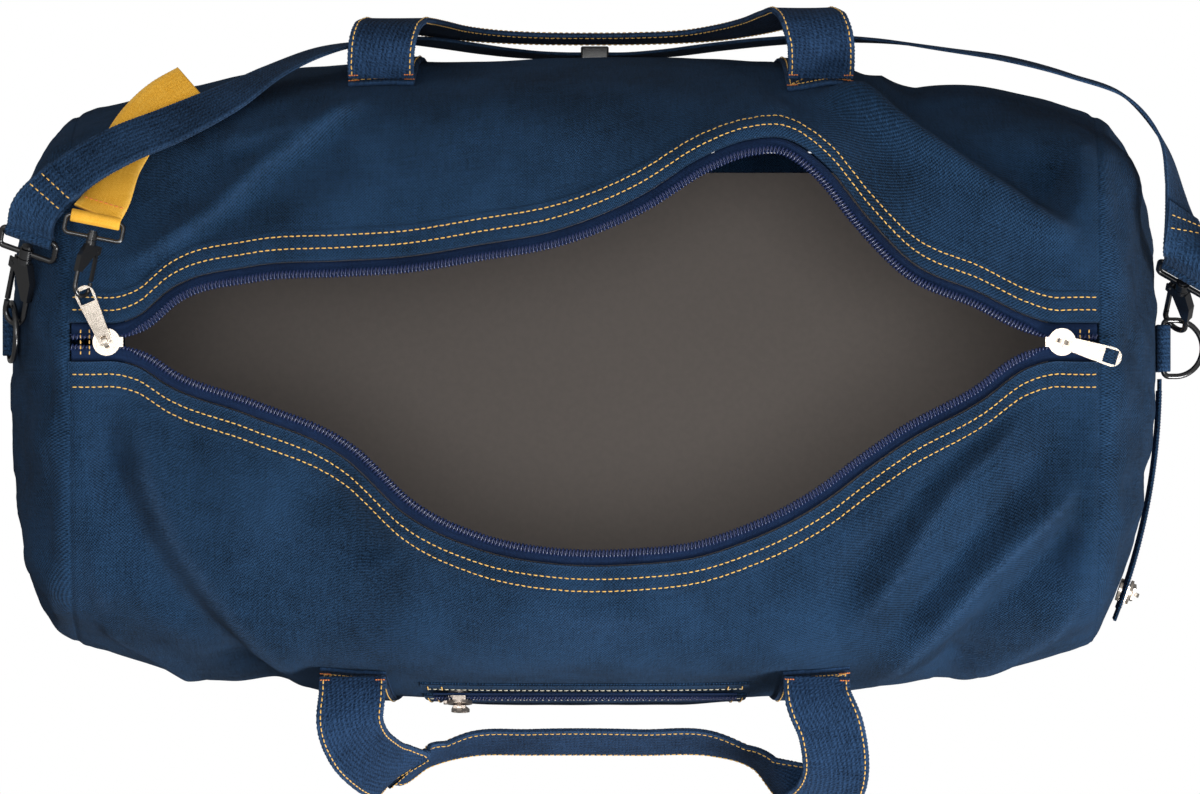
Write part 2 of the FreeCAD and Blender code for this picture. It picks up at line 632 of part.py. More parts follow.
def snap_hook(k, inside):
    """Swivel snap hook: frame at -y, hook towards +y, flat in the xy plane, gate at +x. k scales its section."""
    wire = 1.5 * k
    half = inside / 2 + wire
    frame_deep = 7.0 + 2 * wire
    corners = [Vector(x, y, 0) for x, y in ((-half, 0), (-half, -frame_deep), (half, -frame_deep), (half, 0))]
    boss = Part.makeCylinder(3.6 * k, 5.0 * k, Vector(0, -2.5 * k, 0), Vector(0, 1, 0))
    left = wire_along([Vector(-2.5 * k, 0, 0)] + corners + [Vector(2.5 * k, 0, 0)], wire, 2.4)
    stem_bore = Part.makeCylinder(1.9 * k, 8 * k, Vector(0, -4 * k, 0), Vector(0, 1, 0))
    frame = left.fuse(boss).cut(stem_bore)
    leg = 6.5 * k
    stem = Part.makeCylinder(1.6 * k, 8.6 * k, Vector(0, -3.6 * k, 0), Vector(0, 1, 0))
    head = Part.makeCylinder(2.8 * k, 1.2 * k, Vector(0, -4.2 * k, 0), Vector(0, 1, 0))
    collar = Part.makeCylinder(3.6 * k, 3.0 * k, Vector(0, 3.0 * k, 0), Vector(0, 1, 0))
    outline = [(-4, 5), (8.5, 5), (8.5, 10.5), (3.5, 12), (-4.4, 25), (-8.3, 25), (-8, 14)]
    ring = [Vector(x * k, y * k, -2.2 * k) for x, y in outline]
    plate = Part.Face(Part.makePolygon(ring + ring[:1])).extrude(Vector(0, 0, 4.4 * k))
    bend_y = 34.0 * k
    hook_wire = wire_along(
        [Vector(-leg, 22 * k, 0), Vector(-leg, bend_y + leg, 0), Vector(leg, bend_y + leg, 0), Vector(leg, 30.5 * k, 0)],
        wire, leg - 0.01)
    slot = Part.makeBox(12 * k, 10 * k, 2.6 * k, Vector(1.8 * k, 4.6 * k, -1.3 * k))
    pivot = Vector(leg, 8 * k, 0)
    rivet_bore = Part.makeCylinder(1.2 * k, 8 * k, Vector(pivot.x, pivot.y, -4 * k))
    body = stem.fuse([head, collar, plate, hook_wire]).cut(slot).cut(rivet_bore)
    eye = Part.makeCylinder(2.3 * k, 2.0 * k, Vector(pivot.x, pivot.y, -1.0 * k))
    bar = Part.makeBox(2.2 * k, 21.4 * k, 2.0 * k, Vector(leg - 1.1 * k, 8 * k, -1.0 * k))
    gate = eye.fuse(bar).cut(Part.makeCylinder(1.3 * k, 8 * k, Vector(pivot.x, pivot.y, -4 * k)))
    rivet = Part.makeCylinder(1.15 * k, 5.2 * k, Vector(pivot.x, pivot.y, -2.6 * k))
    return frame, body, gate, rivet, pivot


def place_hook(name, k, inside, frame_at, bend_at, width_hint, frame_flat):
    """Hang a hook between its frame and the thing it is clipped to."""
    along = unit(bend_at - frame_at)
    across = unit(width_hint - along * width_hint.dot(along))
    origin = bend_at - along * (33.7 * k)
    frame, body, gate, rivet, pivot = snap_hook(k, inside)

    def put(shape, side):
        normal = side.cross(along)
        moved = shape.copy()
        moved.Placement = Placement(origin, Rotation(side, along, normal, "XYZ")).multiply(shape.Placement)
        return moved

    flat = unit(frame_flat - along * frame_flat.dot(along))
    keep(name + "_hook_frame", put(frame, flat))
    keep(name + "_hook", put(body, across))
    keep(name + "_hook_gate", put(gate, across))
    keep(name + "_hook_rivet", put(rivet, across))
    gate_at = origin + across * pivot.x + along * pivot.y
    return origin, along, across, gate_at


def vector_text(v):
    return [round(v.x, 5), round(v.y, 5), round(v.z, 5)]


# Left tab and ring: the tab lies up the end panel, the ring stands on its bar
RING_Y = 24.0
LEFT_BAR_HEIGHT = 232.0
LEFT_RING_LEAN = 20.0
TAB_TILT = 14.0
tilt = math.radians(TAB_TILT)
left_up = Vector(math.sin(tilt), 0, math.cos(tilt))
left_out = Vector(-math.cos(tilt), 0, math.sin(tilt))
start = Vector(-BASE_LENGTH / 2 - 40, RING_Y, LEFT_BAR_HEIGHT)
tab = placed(ring_tab(TAB_LENGTH), start, left_up, left_out)
(tab,), moved = seated([tab], left_out * -1, left_end)
left_bar_at = start + moved
keep("left_ring_tab", tab)
lean = math.radians(LEFT_RING_LEAN)
ring_up = Vector(math.sin(lean), 0, math.cos(lean))
keep("left_ring", placed(d_ring(), left_bar_at, ring_up, Vector(-ring_up.z, 0, ring_up.x)))

# Right tab and ring: the tab lies up the end panel and the ring hangs out nearly level
RIGHT_RING_Y = 16.0
RIGHT_BAR_HEIGHT = 199.0
RIGHT_RING_DROP = -8.0
start = Vector(BASE_LENGTH / 2 + 60, RIGHT_RING_Y, RIGHT_BAR_HEIGHT)
tab = placed(ring_tab(TAB_LENGTH), start, SEAM_UP, SEAM_NORMAL)
(tab,), moved = seated([tab], SEAM_NORMAL * -1, right_end)
right_bar_at = start + moved
keep("right_ring_tab", tab)
right_ring_dir = turned(0, RIGHT_RING_DROP)
keep("right_ring", placed(d_ring(), right_bar_at, right_ring_dir, up))


def ring_point(bar, along, across, angle):
    """Point on a ring's wire: angle from the arc's middle towards +across."""
    half = RING_INSIDE / 2 + RING_WIRE
    a = math.radians(angle)
    return bar + along * (3.0 + RING_SIDE + half * math.cos(a)) + across * (half * math.sin(a))


left_clip = ring_point(left_bar_at, ring_up, Vector(0, 1, 0), 45)
roll = math.radians(HOOK_ROLL_LEFT)
left_hook = place_hook("left", 1.0, RING_INSIDE, left_clip + Vector(14.0, 47.0, 23.0), left_clip,
                       Vector(-math.cos(roll), 0, -math.sin(roll)), Vector(-1, 0, -0.25))
right_clip = ring_point(right_bar_at, right_ring_dir, Vector(0, 1, 0), 90)
right_hook = place_hook("right", 1.0, RING_INSIDE, right_clip + Vector(-2.0, 21.0, 34.0), right_clip,
                        Vector(-0.66, 0.75, 0), Vector(-0.75, 0.66, 0))
KEY = 0.75                # the key hook is this much of the strap hooks
KEY_INSIDE = STRAP_WIDTH + 2.0
KEY_SLACK = 1.1           # the pull's hole rests this far inside the key hook's bend
pull_dir = turned(LEFT_PULL_TURN, LEFT_PULL_TILT)
key_clip = left_bar + pull_dir * (PULL_LENGTH - 1.1)
key_way = Vector(8.0, 44.0, -4.0)
key_hook = place_hook("key", KEY, KEY_INSIDE, key_clip + key_way, key_clip + unit(key_way) * KEY_SLACK,
                      Vector(0.64, 0.1, -0.77), Vector(1, 0, -0.15))


# ---------------------------------------------------------------- shoulder strap and key tag


def far_bar(hook, k):
    """Middle of the frame bar that webbing wraps, and the way the webbing leaves it."""
    origin, along, _, _ = hook
    return origin - along * (7.0 + 3.0 * k), along * -1


def webbing_eye(bar_at, bar_dir, wire):
    """Webbing wrapped round a frame's bar."""
    low = bar_at - bar_dir * (STRAP_WIDTH / 2)
    eye = Part.makeCylinder(wire + RING_PLAY + STRAP_THICK, STRAP_WIDTH, low, bar_dir)
    return eye, Part.makeCylinder(wire + RING_PLAY, STRAP_WIDTH + 8, low - bar_dir * 4, bar_dir)


def webbing(stations, ends):
    """A strap whose ends are wrapped round bars: ends are (bar point, bar direction, wire radius)."""
    strap = strap_loft(stations, STRAP_WIDTH, STRAP_THICK)
    for bar_at, bar_dir, wire in ends:
        eye, bore = webbing_eye(bar_at, bar_dir, wire)
        strap = strap.fuse(eye).cut(bore)
    return strap


def across_frame(hook, flat):
    _, along, _, _ = hook
    return unit(flat - along * flat.dot(along))


left_far, left_leave = far_bar(left_hook, 1.0)
right_far, right_leave = far_bar(right_hook, 1.0)
left_flat = across_frame(left_hook, Vector(-1, 0, -0.25)) * -1
right_flat = across_frame(right_hook, Vector(-0.75, 0.66, 0))
EYE_REACH = 3.0           # bar centre to where the flat webbing starts

STRAP_ROUTE = [
    ((-268, 97, 264), (0.82, -0.5, 0.25)), ((-256, 107, 262), (0.62, -0.68, 0.38)),
    ((-238, 118, 257.5), (0.5, -0.74, 0.45)), ((-213, 130, 246.5), (0.45, -0.72, 0.53)),
    ((-188, 144, 233), (0.35, -0.6, 0.7)), ((-164, 161, 215), (0.25, -0.35, 0.9)),
    ((-140, 174, 196), (0.3, -0.2, 0.93)), ((-116, 182, 172), (0.5, -0.05, 0.86)),
    ((-94, 186, 143), (0.6, 0, 0.8)), ((-73, 187, 112), (0.65, 0, 0.76)), ((-51, 187, 84), (0.5, 0, 0.87)),
    ((-30, 187, 66), (0.25, 0, 0.97)), ((-12, 187, 60), (0, 0, 1)), ((5, 187, 60), (0, 0, 1)),
    ((22, 187, 60), (0, 0, 1)), ((45, 188, 65), (-0.25, 0, 0.97)), ((75, 190, 80), (-0.35, 0, 0.94)),
    ((105, 191, 98), (-0.4, 0, 0.92)), ((135, 190, 118), (-0.4, 0, 0.92)), ((165, 186, 140), (-0.4, -0.05, 0.92)),
    ((195, 179, 162), (-0.35, -0.1, 0.93)), ((228, 171, 182), (-0.25, -0.15, 0.95)),
    ((258, 161, 195), (-0.15, -0.15, 0.97)), ((286, 149, 203), (-0.1, -0.15, 0.98)),
    ((305, 124, 209), (-0.3, 0.1, 0.95)), ((310, 98, 218), (-0.55, 0.3, 0.75)),
]
first = (tuple(left_far + left_leave * EYE_REACH), tuple(left_flat))
second = (tuple(left_far + left_leave * 12 + Vector(0, 0, 1.5)), tuple(left_flat + Vector(0, -0.15, 0)))
final = (tuple(right_far + right_leave * EYE_REACH), tuple(right_flat))
before = (tuple(right_far + right_leave * 10), tuple(right_flat))
route = doubled([first, second] + STRAP_ROUTE + [before, final])
route.reverse()
keep("shoulder_strap", webbing(route, [(left_far, left_flat, 1.5), (right_far, right_flat, 1.5)]))

ADJUSTER_X = 5.0
ADJUSTER_PLAY = 1.5
adjuster_at = Vector(ADJUSTER_X, 187, 60)
slot_y = STRAP_THICK + 2 * ADJUSTER_PLAY
slot_z = STRAP_WIDTH + 2 * ADJUSTER_PLAY
outer = Part.makeBox(16, slot_y + 3.0, slot_z + 5.0, adjuster_at - Vector(8, slot_y / 2 + 1.5, slot_z / 2 + 2.5))
outer = outer.makeFillet(1.2, [e for e in outer.Edges])
adjuster = outer.cut(Part.makeBox(40, slot_y, slot_z, adjuster_at - Vector(20, slot_y / 2, slot_z / 2)))
keep("strap_adjuster", adjuster)

key_far, key_leave = far_bar(key_hook, KEY)
key_flat = across_frame(key_hook, Vector(1, 0, -0.15))
TAG_ROUTE = [
    ((-240, 109, 251), (1, -0.15, -0.05)), ((-236, 119, 245), (0.97, -0.25, -0.1)),
    ((-229, 134, 236), (0.8, -0.45, 0.25)), ((-218, 146, 226), (0.62, -0.68, 0.3)),
    ((-206, 154, 219), (0.55, -0.75, 0.32)),
]
tag_start = (tuple(key_far + key_leave * (EYE_REACH - 0.4)), tuple(key_flat))
tag_next = (tuple(key_far + key_leave * 8 + Vector(2, 1, -5)), tuple(key_flat + Vector(0, 0, 0.2)))
keep("key_tag", webbing([tag_start, tag_next] + TAG_ROUTE, [(key_far, key_flat, 1.5 * KEY)]))

# ---------------------------------------------------------------- joint axes, for the record

AXES = {
    "left_slider": (left_at, Vector(-1, 0, 0)),
    "right_slider": (right_at, Vector(1, 0, 0)),
    "left_pull": (left_bar, pull_dir.cross(up)),
    "right_pull": (right_bar, turned(RIGHT_PULL_TURN).cross(up)),
    "front_pocket_slider": (zip_at, Vector(1, 0, 0)),
    "front_pocket_pull": (zip_at + Vector(POCKET_SLIDER_X, 0, 0) + zip_out * BAR_Z, (zip_up * -1).cross(zip_out)),
    "end_pocket_slider": (arc_centre, SEAM_UP),
    "front_handle": (feet["front"], Vector(-1, 0, 0)),
    "back_handle": (feet["back"], Vector(1, 0, 0)),
    "left_ring": (left_bar_at, Vector(0, 1, 0)),
    "right_ring": (right_bar_at, Vector(0, 1, 0)),
    "strap_adjuster": (adjuster_at, Vector(1, 0, 0)),
}
end_turn = Rotation(SEAM_UP, -END_SLIDER_ANGLE)
end_out = end_turn.multVec(SEAM_NORMAL)
end_bar = arc_centre + end_out * (arc_skin + BAR_Z)
AXES["end_pocket_pull"] = (end_bar, (SEAM_UP * -1).cross(end_out))
for name, (origin, along, across, gate_at) in (("left", left_hook), ("right", right_hook), ("key", key_hook)):
    AXES[name + "_hook"] = (origin, along)
    AXES[name + "_hook_gate"] = (gate_at, across.cross(along))
axes_text = {k: [vector_text(at), vector_text(unit(way))] for k, (at, way) in AXES.items()}
print("AXES " + json.dumps(axes_text))

for name, shape in PARTS.items():
    print(name, shape.isValid(), len(shape.Solids), round(shape.Volume / 1000, 1))
    shape.exportStep("parts/" + name + ".step")
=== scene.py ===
import math
import random

import bpy
import numpy as np
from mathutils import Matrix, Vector, noise


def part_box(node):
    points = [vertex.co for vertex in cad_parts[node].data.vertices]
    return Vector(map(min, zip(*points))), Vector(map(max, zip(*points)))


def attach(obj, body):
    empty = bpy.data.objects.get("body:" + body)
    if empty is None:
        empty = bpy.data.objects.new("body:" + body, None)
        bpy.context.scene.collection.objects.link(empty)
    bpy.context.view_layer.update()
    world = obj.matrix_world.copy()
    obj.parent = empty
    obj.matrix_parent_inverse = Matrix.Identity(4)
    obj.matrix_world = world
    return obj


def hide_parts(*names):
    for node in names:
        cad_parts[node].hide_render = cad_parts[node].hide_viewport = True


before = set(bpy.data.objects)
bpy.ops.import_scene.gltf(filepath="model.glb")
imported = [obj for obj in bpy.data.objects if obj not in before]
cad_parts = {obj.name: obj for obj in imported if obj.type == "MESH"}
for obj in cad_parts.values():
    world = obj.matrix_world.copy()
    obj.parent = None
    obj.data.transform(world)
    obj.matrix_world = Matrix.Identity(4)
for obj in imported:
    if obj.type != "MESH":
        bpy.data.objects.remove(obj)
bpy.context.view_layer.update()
random.seed(11)
MM = 0.001

# ---------------------------------------------------------------- sizes, in mm

TOP_LENGTH = 526.0
HEIGHT = 265.0
LEAN = 37.0 / HEIGHT              # the end seams lean outward to the base
MOUTH_HALF = 263.0
LIP_HEIGHT = 262.0
LIP_SAG = 9.0
BULGE_MIDDLE = 179.0
BULGE_END = 148.0
BASE_HALF_DEPTH = 138.0
DOME = 31.0
DOME_CENTRE = 106.0
END_ARC = 369.0
ZIP_Y = 18.0
CANVAS = 1.8
# distance along the top, canvas edge at the back, canvas edge at the front
MOUTH = np.array([
    (-263, 28, 8), (-250, 28, 8), (-238, 28, 8), (-227, 32, 5), (-213, 44, -4), (-170, 57, -20), (-122, 60, -42),
    (-92, 62, -70), (-55, 68, -88), (-13, 76, -96), (28, 93, -96), (60, 113, -92), (84, 122, -84),
    (104, 122, -75), (124, 108, -63), (145, 82, -47), (165, 61, -33), (203, 43, -12), (225, 32, 4),
    (238, 28, 8), (250, 28, 8), (263, 28, 8),
], float)
HANDLE_WIDTH = 35.0
HANDLE_THICK = 2.5
STRAP_WIDTH = 25.0
STRAP_THICK = 1.8
FRONT_FOOT = (0.0, -157.28, 214.0)
BACK_FOOT = (0.0, 157.79, 214.0)


# ---------------------------------------------------------------- curves and meshes

def hermite(knots, values, t):
    """Smooth curve through values at knots, read at t."""
    knots = np.asarray(knots, float)
    values = np.asarray(values, float)
    slope = np.gradient(values, knots, axis=0)
    t = np.clip(np.asarray(t, float), knots[0], knots[-1])
    i = np.clip(np.searchsorted(knots, t, side="right") - 1, 0, len(knots) - 2)
    h = knots[i + 1] - knots[i]
    u = (t - knots[i]) / h
    if values.ndim > 1:
        u = u[..., None]
        h = h[..., None]
    a = (2 * u ** 3 - 3 * u ** 2 + 1) * values[i] + (u ** 3 - 2 * u ** 2 + u) * h * slope[i]
    b = (3 * u ** 2 - 2 * u ** 3) * values[i + 1] + (u ** 3 - u ** 2) * h * slope[i + 1]
    return a + b


def lengths(points):
    steps = np.linalg.norm(np.diff(points, axis=0), axis=1)
    return np.concatenate([[0.0], np.cumsum(steps)])


def unit_rows(v):
    return v / np.maximum(np.linalg.norm(v, axis=-1, keepdims=True), 1e-9)


def resample(points, step):
    points = np.asarray(points, float)
    along = lengths(points)
    count = max(int(round(along[-1] / step)), 1) + 1
    at = np.linspace(0, along[-1], count)
    return np.stack([np.interp(at, along, points[:, k]) for k in range(points.shape[1])], 1)


def smooth_line(points, step):
    points = np.asarray(points, float)
    along = lengths(points[:, :3])
    count = max(int(round(along[-1] / step)), 2) + 1
    return hermite(along, points, np.linspace(0, along[-1], count))


def grid_faces(n, m, wrap_n=False, wrap_m=False, start=0, flip=False):
    faces = []
    for i in range(n if wrap_n else n - 1):
        for j in range(m if wrap_m else m - 1):
            a = start + i * m + j
            b = start + ((i + 1) % n) * m + j
            c = start + ((i + 1) % n) * m + (j + 1) % m
            d = start + i * m + (j + 1) % m
            faces.append((a, d, c, b) if flip else (a, b, c, d))
    return faces


def build(name, verts, faces, material, body="bag", uv=None, wear_and_highlight=None, replaces=()):
    """One mesh object from points in mm; uv is per vertex, in mm."""
    mesh = bpy.data.meshes.new(name)
    verts = np.asarray(verts, float) * MM
    mesh.from_pydata(verts.tolist(), [], faces)
    if uv is not None:
        layer = mesh.uv_layers.new(name="UVMap")
        corner = np.empty(len(mesh.loops), dtype=np.int32)
        mesh.loops.foreach_get("vertex_index", corner)
        layer.data.foreach_set("uv", np.asarray(uv, np.float32)[corner].ravel())
    # vertex mask for the lighter cloth colour: painted highlight on fold crests, and real rubbing on edges
    wear_and_highlight_layer = mesh.attributes.new("wear_and_highlight", "FLOAT", "POINT")
    wear_and_highlight_layer.data.foreach_set("value", np.asarray(wear_and_highlight if wear_and_highlight is not None else np.zeros(len(verts)), np.float32))
    mesh.polygons.foreach_set("use_smooth", [True] * len(mesh.polygons))
    mesh.materials.append(material)
    mesh.update()
    piece = bpy.data.objects.new(name, mesh)
    bpy.context.scene.collection.objects.link(piece)
    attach(piece, body)
    if replaces:
        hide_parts(*replaces)
    return piece


# ---------------------------------------------------------------- materials

def srgb(r, g, b):
    def line(c):
        c = c / 255
        return c / 12.92 if c <= 0.04045 else ((c + 0.055) / 1.055) ** 2.4
    return (line(r), line(g), line(b), 1.0)


class Tree:
    """A small wrapper that adds and joins shader nodes."""

    def __init__(self, name):
        self.mat = bpy.data.materials.new(name)
        self.mat.use_nodes = True
        self.tree = self.mat.node_tree
        self.out = self.tree.nodes["Principled BSDF"]

    def add(self, kind, inputs=(), **settings):
        node = self.tree.nodes.new(kind)
        for key, value in settings.items():
            setattr(node, key, value)
        for key, value in dict(inputs).items():
            self.set(node, key, value)
        return node

    def set(self, node, key, value):
        if isinstance(value, bpy.types.NodeSocket):
            self.tree.links.new(value, node.inputs[key])
        else:
            node.inputs[key].default_value = value

    def math(self, kind, a, b=0.0):
        node = self.add("ShaderNodeMath", operation=kind)
        self.set(node, 0, a)
        self.set(node, 1, b)
        return node.outputs[0]

    def mix(self, fac, a, b, blend="MIX"):
        node = self.add("ShaderNodeMix", data_type="RGBA", blend_type=blend)
        self.set(node, 0, fac)
        self.set(node, 6, a)
        self.set(node, 7, b)
        return node.outputs[2]

    def noise(self, vector, scale, detail=3.0, rough=0.55):
        node = self.add("ShaderNodeTexNoise", {"Vector": vector, "Scale": scale, "Detail": detail, "Roughness": rough})
        return node.outputs["Fac"]

    def band(self, value, low, high):
        node = self.add("ShaderNodeMapRange", {"Value": value, "From Min": low, "From Max": high})
        return node.outputs["Result"]


def cloth(name, dark, light, pitch, twill=0.0, bump=0.5, grain=0.35, blotch=18.0, worn_and_highlit=(62, 90, 126), sheen=0.02):
    """Woven cloth: yarn crowns from the uv in mm, slubs, faded blotches, and a lighter colour from a vertex attribute
    that is painted highlight on fold crests and real rubbing on edges.
    """
    t = Tree(name)
    uv = t.add("ShaderNodeTexCoord")
    place = uv.outputs["Object"]
    wobble = t.noise(uv.outputs["UV"], 0.35, 2.0)
    parts = t.add("ShaderNodeSeparateXYZ", {"Vector": uv.outputs["UV"]})
    shift = t.math("MULTIPLY", wobble, pitch * 1.2)
    u = t.math("ADD", parts.outputs[0], shift)
    v = t.math("ADD", parts.outputs[1], shift)
    k = 2 * math.pi / pitch
    lean = t.math("ADD", t.math("MULTIPLY", u, k), t.math("MULTIPLY", v, k * twill))
    warp = t.math("SINE", lean)
    weft = t.math("SINE", t.math("MULTIPLY", v, k * (1.0 if twill == 0 else 0.62)))
    crown = t.band(t.math("MULTIPLY", warp, weft), -1.0, 1.0)
    fine = t.noise(place, 1500.0, 2.0)
    slub_map = t.add("ShaderNodeMapping", {"Vector": uv.outputs["UV"], "Scale": (0.06, 0.9, 1.0)})
    slub = t.noise(slub_map.outputs[0], 1.0, 2.0)
    slub_across = t.add("ShaderNodeMapping", {"Vector": uv.outputs["UV"], "Scale": (0.9, 0.06, 1.0)})
    slub2 = t.noise(slub_across.outputs[0], 1.0, 2.0)
    large = t.noise(place, blotch, 4.0, 0.6)
    tone = t.math("ADD", t.math("MULTIPLY", t.band(large, 0.3, 0.7), 0.5), t.math("MULTIPLY", crown, grain))
    tone = t.math("ADD", tone, t.math("MULTIPLY", t.math("SUBTRACT", fine, 0.5), 1.2))
    tone = t.math("ADD", tone, t.math("MULTIPLY", t.math("SUBTRACT", slub, 0.5), 0.6))
    tone = t.math("ADD", tone, t.math("MULTIPLY", t.math("SUBTRACT", slub2, 0.5), 0.6))
    clamp = t.add("ShaderNodeClamp", {"Value": tone})
    colour = t.mix(clamp.outputs[0], srgb(*dark), srgb(*light))
    # lighter colour mixed in where the vertex mask is set: painted highlight on fold crests, and real rubbing on edges
    wear_and_highlight = t.add("ShaderNodeAttribute", attribute_name="wear_and_highlight")
    patchy = t.math("MULTIPLY", wear_and_highlight.outputs["Fac"], t.band(t.noise(place, 420.0, 3.0), 0.25, 0.65))
    highlight_and_wear_fac = t.add("ShaderNodeClamp", {"Value": patchy})
    colour = t.mix(highlight_and_wear_fac.outputs[0], colour, srgb(*worn_and_highlit))
    t.set(t.out, "Base Color", colour)
    t.set(t.out, "Roughness", 0.94)
    t.set(t.out, "Specular IOR Level", 0.1)
    t.set(t.out, "Sheen Weight", sheen)
    t.set(t.out, "Sheen Roughness", 0.5)
    height = t.math("ADD", crown, t.math("MULTIPLY", fine, 0.6))
    node = t.add("ShaderNodeBump", {"Strength": bump, "Distance": 0.0006, "Height": height})
    t.set(t.out, "Normal", node.outputs[0])
    return t.mat


def metal(name, colour, rough, metallic=1.0, coat=0.0, scratch=0.1, level=0.5):
    t = Tree(name)
    place = t.add("ShaderNodeTexCoord").outputs["Object"]
    smudge = t.noise(place, 260.0, 4.0)
    fine = t.noise(place, 2200.0, 2.0)
    dark = tuple(c * 0.94 for c in srgb(*colour)[:3]) + (1.0,)
    t.set(t.out, "Base Color", t.mix(t.band(smudge, 0.35, 0.65), dark, srgb(*colour)))
    t.set(t.out, "Metallic", metallic)
    t.set(t.out, "Specular IOR Level", level)
    t.set(t.out, "Coat Weight", coat)
    t.set(t.out, "Coat Roughness", 0.12)
    t.set(t.out, "Roughness", t.math("ADD", t.math("MULTIPLY", smudge, scratch), rough - scratch / 2))
    node = t.add("ShaderNodeBump", {"Strength": 0.08, "Distance": 0.0002, "Height": fine})
    t.set(t.out, "Normal", node.outputs[0])
    return t.mat


def thread(name, dark, light):
    t = Tree(name)
    place = t.add("ShaderNodeTexCoord").outputs["Object"]
    twist = t.noise(place, 900.0, 2.0)
    tint = t.noise(place, 60.0, 2.0)
    fac = t.math("ADD", t.math("MULTIPLY", twist, 0.6), t.math("MULTIPLY", tint, 0.5))
    t.set(t.out, "Base Color", t.mix(fac, srgb(*dark), srgb(*light)))
    t.set(t.out, "Roughness", 0.6)
    t.set(t.out, "Specular IOR Level", 0.35)
    t.set(t.out, "Sheen Weight", 0.2)
    return t.mat


CANVAS_LOOK = cloth("canvas", (3, 16, 27), (35, 64, 96), 1.6, bump=1.0, grain=0.75)
WEB_LOOK = cloth("webbing", (6, 20, 34), (42, 70, 104), 2.5, twill=0.6, bump=0.9, grain=0.6)
GRIP_LOOK = cloth("grip_webbing", (6, 20, 36), (40, 66, 100), 2.4, twill=0.5, bump=0.9, grain=0.65)
TAPE_LOOK = cloth("zip_tape", (10, 22, 44), (28, 48, 82), 0.9, bump=0.5, grain=0.5)
TAG_LOOK = cloth("key_webbing", (226, 160, 40), (252, 198, 84), 1.1, bump=0.5, grain=0.35, worn_and_highlit=(255, 214, 120))
BIND_LOOK = cloth("binding", (10, 24, 46), (24, 44, 74), 0.9, bump=0.4)
GOLD = thread("gold_thread", (190, 134, 52), (248, 204, 112))
ORANGE = thread("orange_thread", (196, 92, 34), (240, 146, 70))
PALE = thread("pale_thread", (150, 152, 150), (226, 216, 186))
COIL_LOOK = metal("zip_coil", (22, 38, 82), 0.32, metallic=0.0, coat=0.3, level=0.6)
NICKEL = metal("nickel", (236, 224, 210), 0.26, scratch=0.16)
GUNMETAL = metal("gunmetal", (190, 178, 168), 0.3, scratch=0.16)
BLACK = metal("black_enamel", (16, 17, 20), 0.24, metallic=0.0, coat=0.6, level=0.6)
BOARD_LOOK = metal("base_board", (134, 125, 119), 0.75, metallic=0.0)


# ---------------------------------------------------------------- the side panels' surface

def mouth_edges(x):
    return hermite(MOUTH[:, 0], MOUTH[:, 1], x), hermite(MOUTH[:, 0], MOUTH[:, 2], x)


def outline(s, side, offset=0.0):
    """Points (y, z) of a side panel from base edge to lip."""
    back, front = mouth_edges(s * MOUTH_HALF)
    lip = float(back if side > 0 else -front)
    a = BULGE_MIDDLE - (BULGE_MIDDLE - BULGE_END) * abs(s) ** 3
    top = LIP_HEIGHT - LIP_SAG * float(back - front - 20) / 200
    shoulder_y = 0.79 * a
    shoulder_z = 0.88 * HEIGHT
    closed = (shoulder_y - lip) / (shoulder_y + 20)
    points = np.array([
        (BASE_HALF_DEPTH, 0), (a - 6, 0.15 * HEIGHT), (a, 0.42 * HEIGHT), (a - 13, 0.68 * HEIGHT),
        (shoulder_y, shoulder_z),
        ((shoulder_y + lip + 6) / 2, shoulder_z + (top - shoulder_z) * (0.55 + 0.25 * closed)),
        (lip + 6, top - 0.8), (lip, top),
    ])
    if offset:
        tangent = np.gradient(points, axis=0)
        tangent = unit_rows(tangent)
        points[1:, 0] += tangent[1:, 1] * offset
        points[1:, 1] -= tangent[1:, 0] * offset
        points[0, 0] += offset
    points[:, 0] *= side
    return points


def plan_distance(points, line):
    """Distance in plan from points to a polyline, its side (sign) and place along it, 0 to 1."""
    line = np.asarray(line, float)
    best = np.full(points.shape[:-1], 1e9)
    sign = np.zeros(points.shape[:-1])
    along = np.zeros(points.shape[:-1])
    run = lengths(line)
    for i in range(len(line) - 1):
        a, b = line[i], line[i + 1]
        d = b - a
        t = np.clip(((points[..., 0] - a[0]) * d[0] + (points[..., 1] - a[1]) * d[1]) / (d @ d), 0, 1)
        ox = points[..., 0] - (a[0] + t * d[0])
        oy = points[..., 1] - (a[1] + t * d[1])
        dist = np.hypot(ox, oy)
        near = dist < best
        best = np.where(near, dist, best)
        sign = np.where(near, np.sign(d[0] * oy - d[1] * ox), sign)
        along = np.where(near, (run[i] + t * (run[i + 1] - run[i])) / run[-1], along)
    return best, sign, along


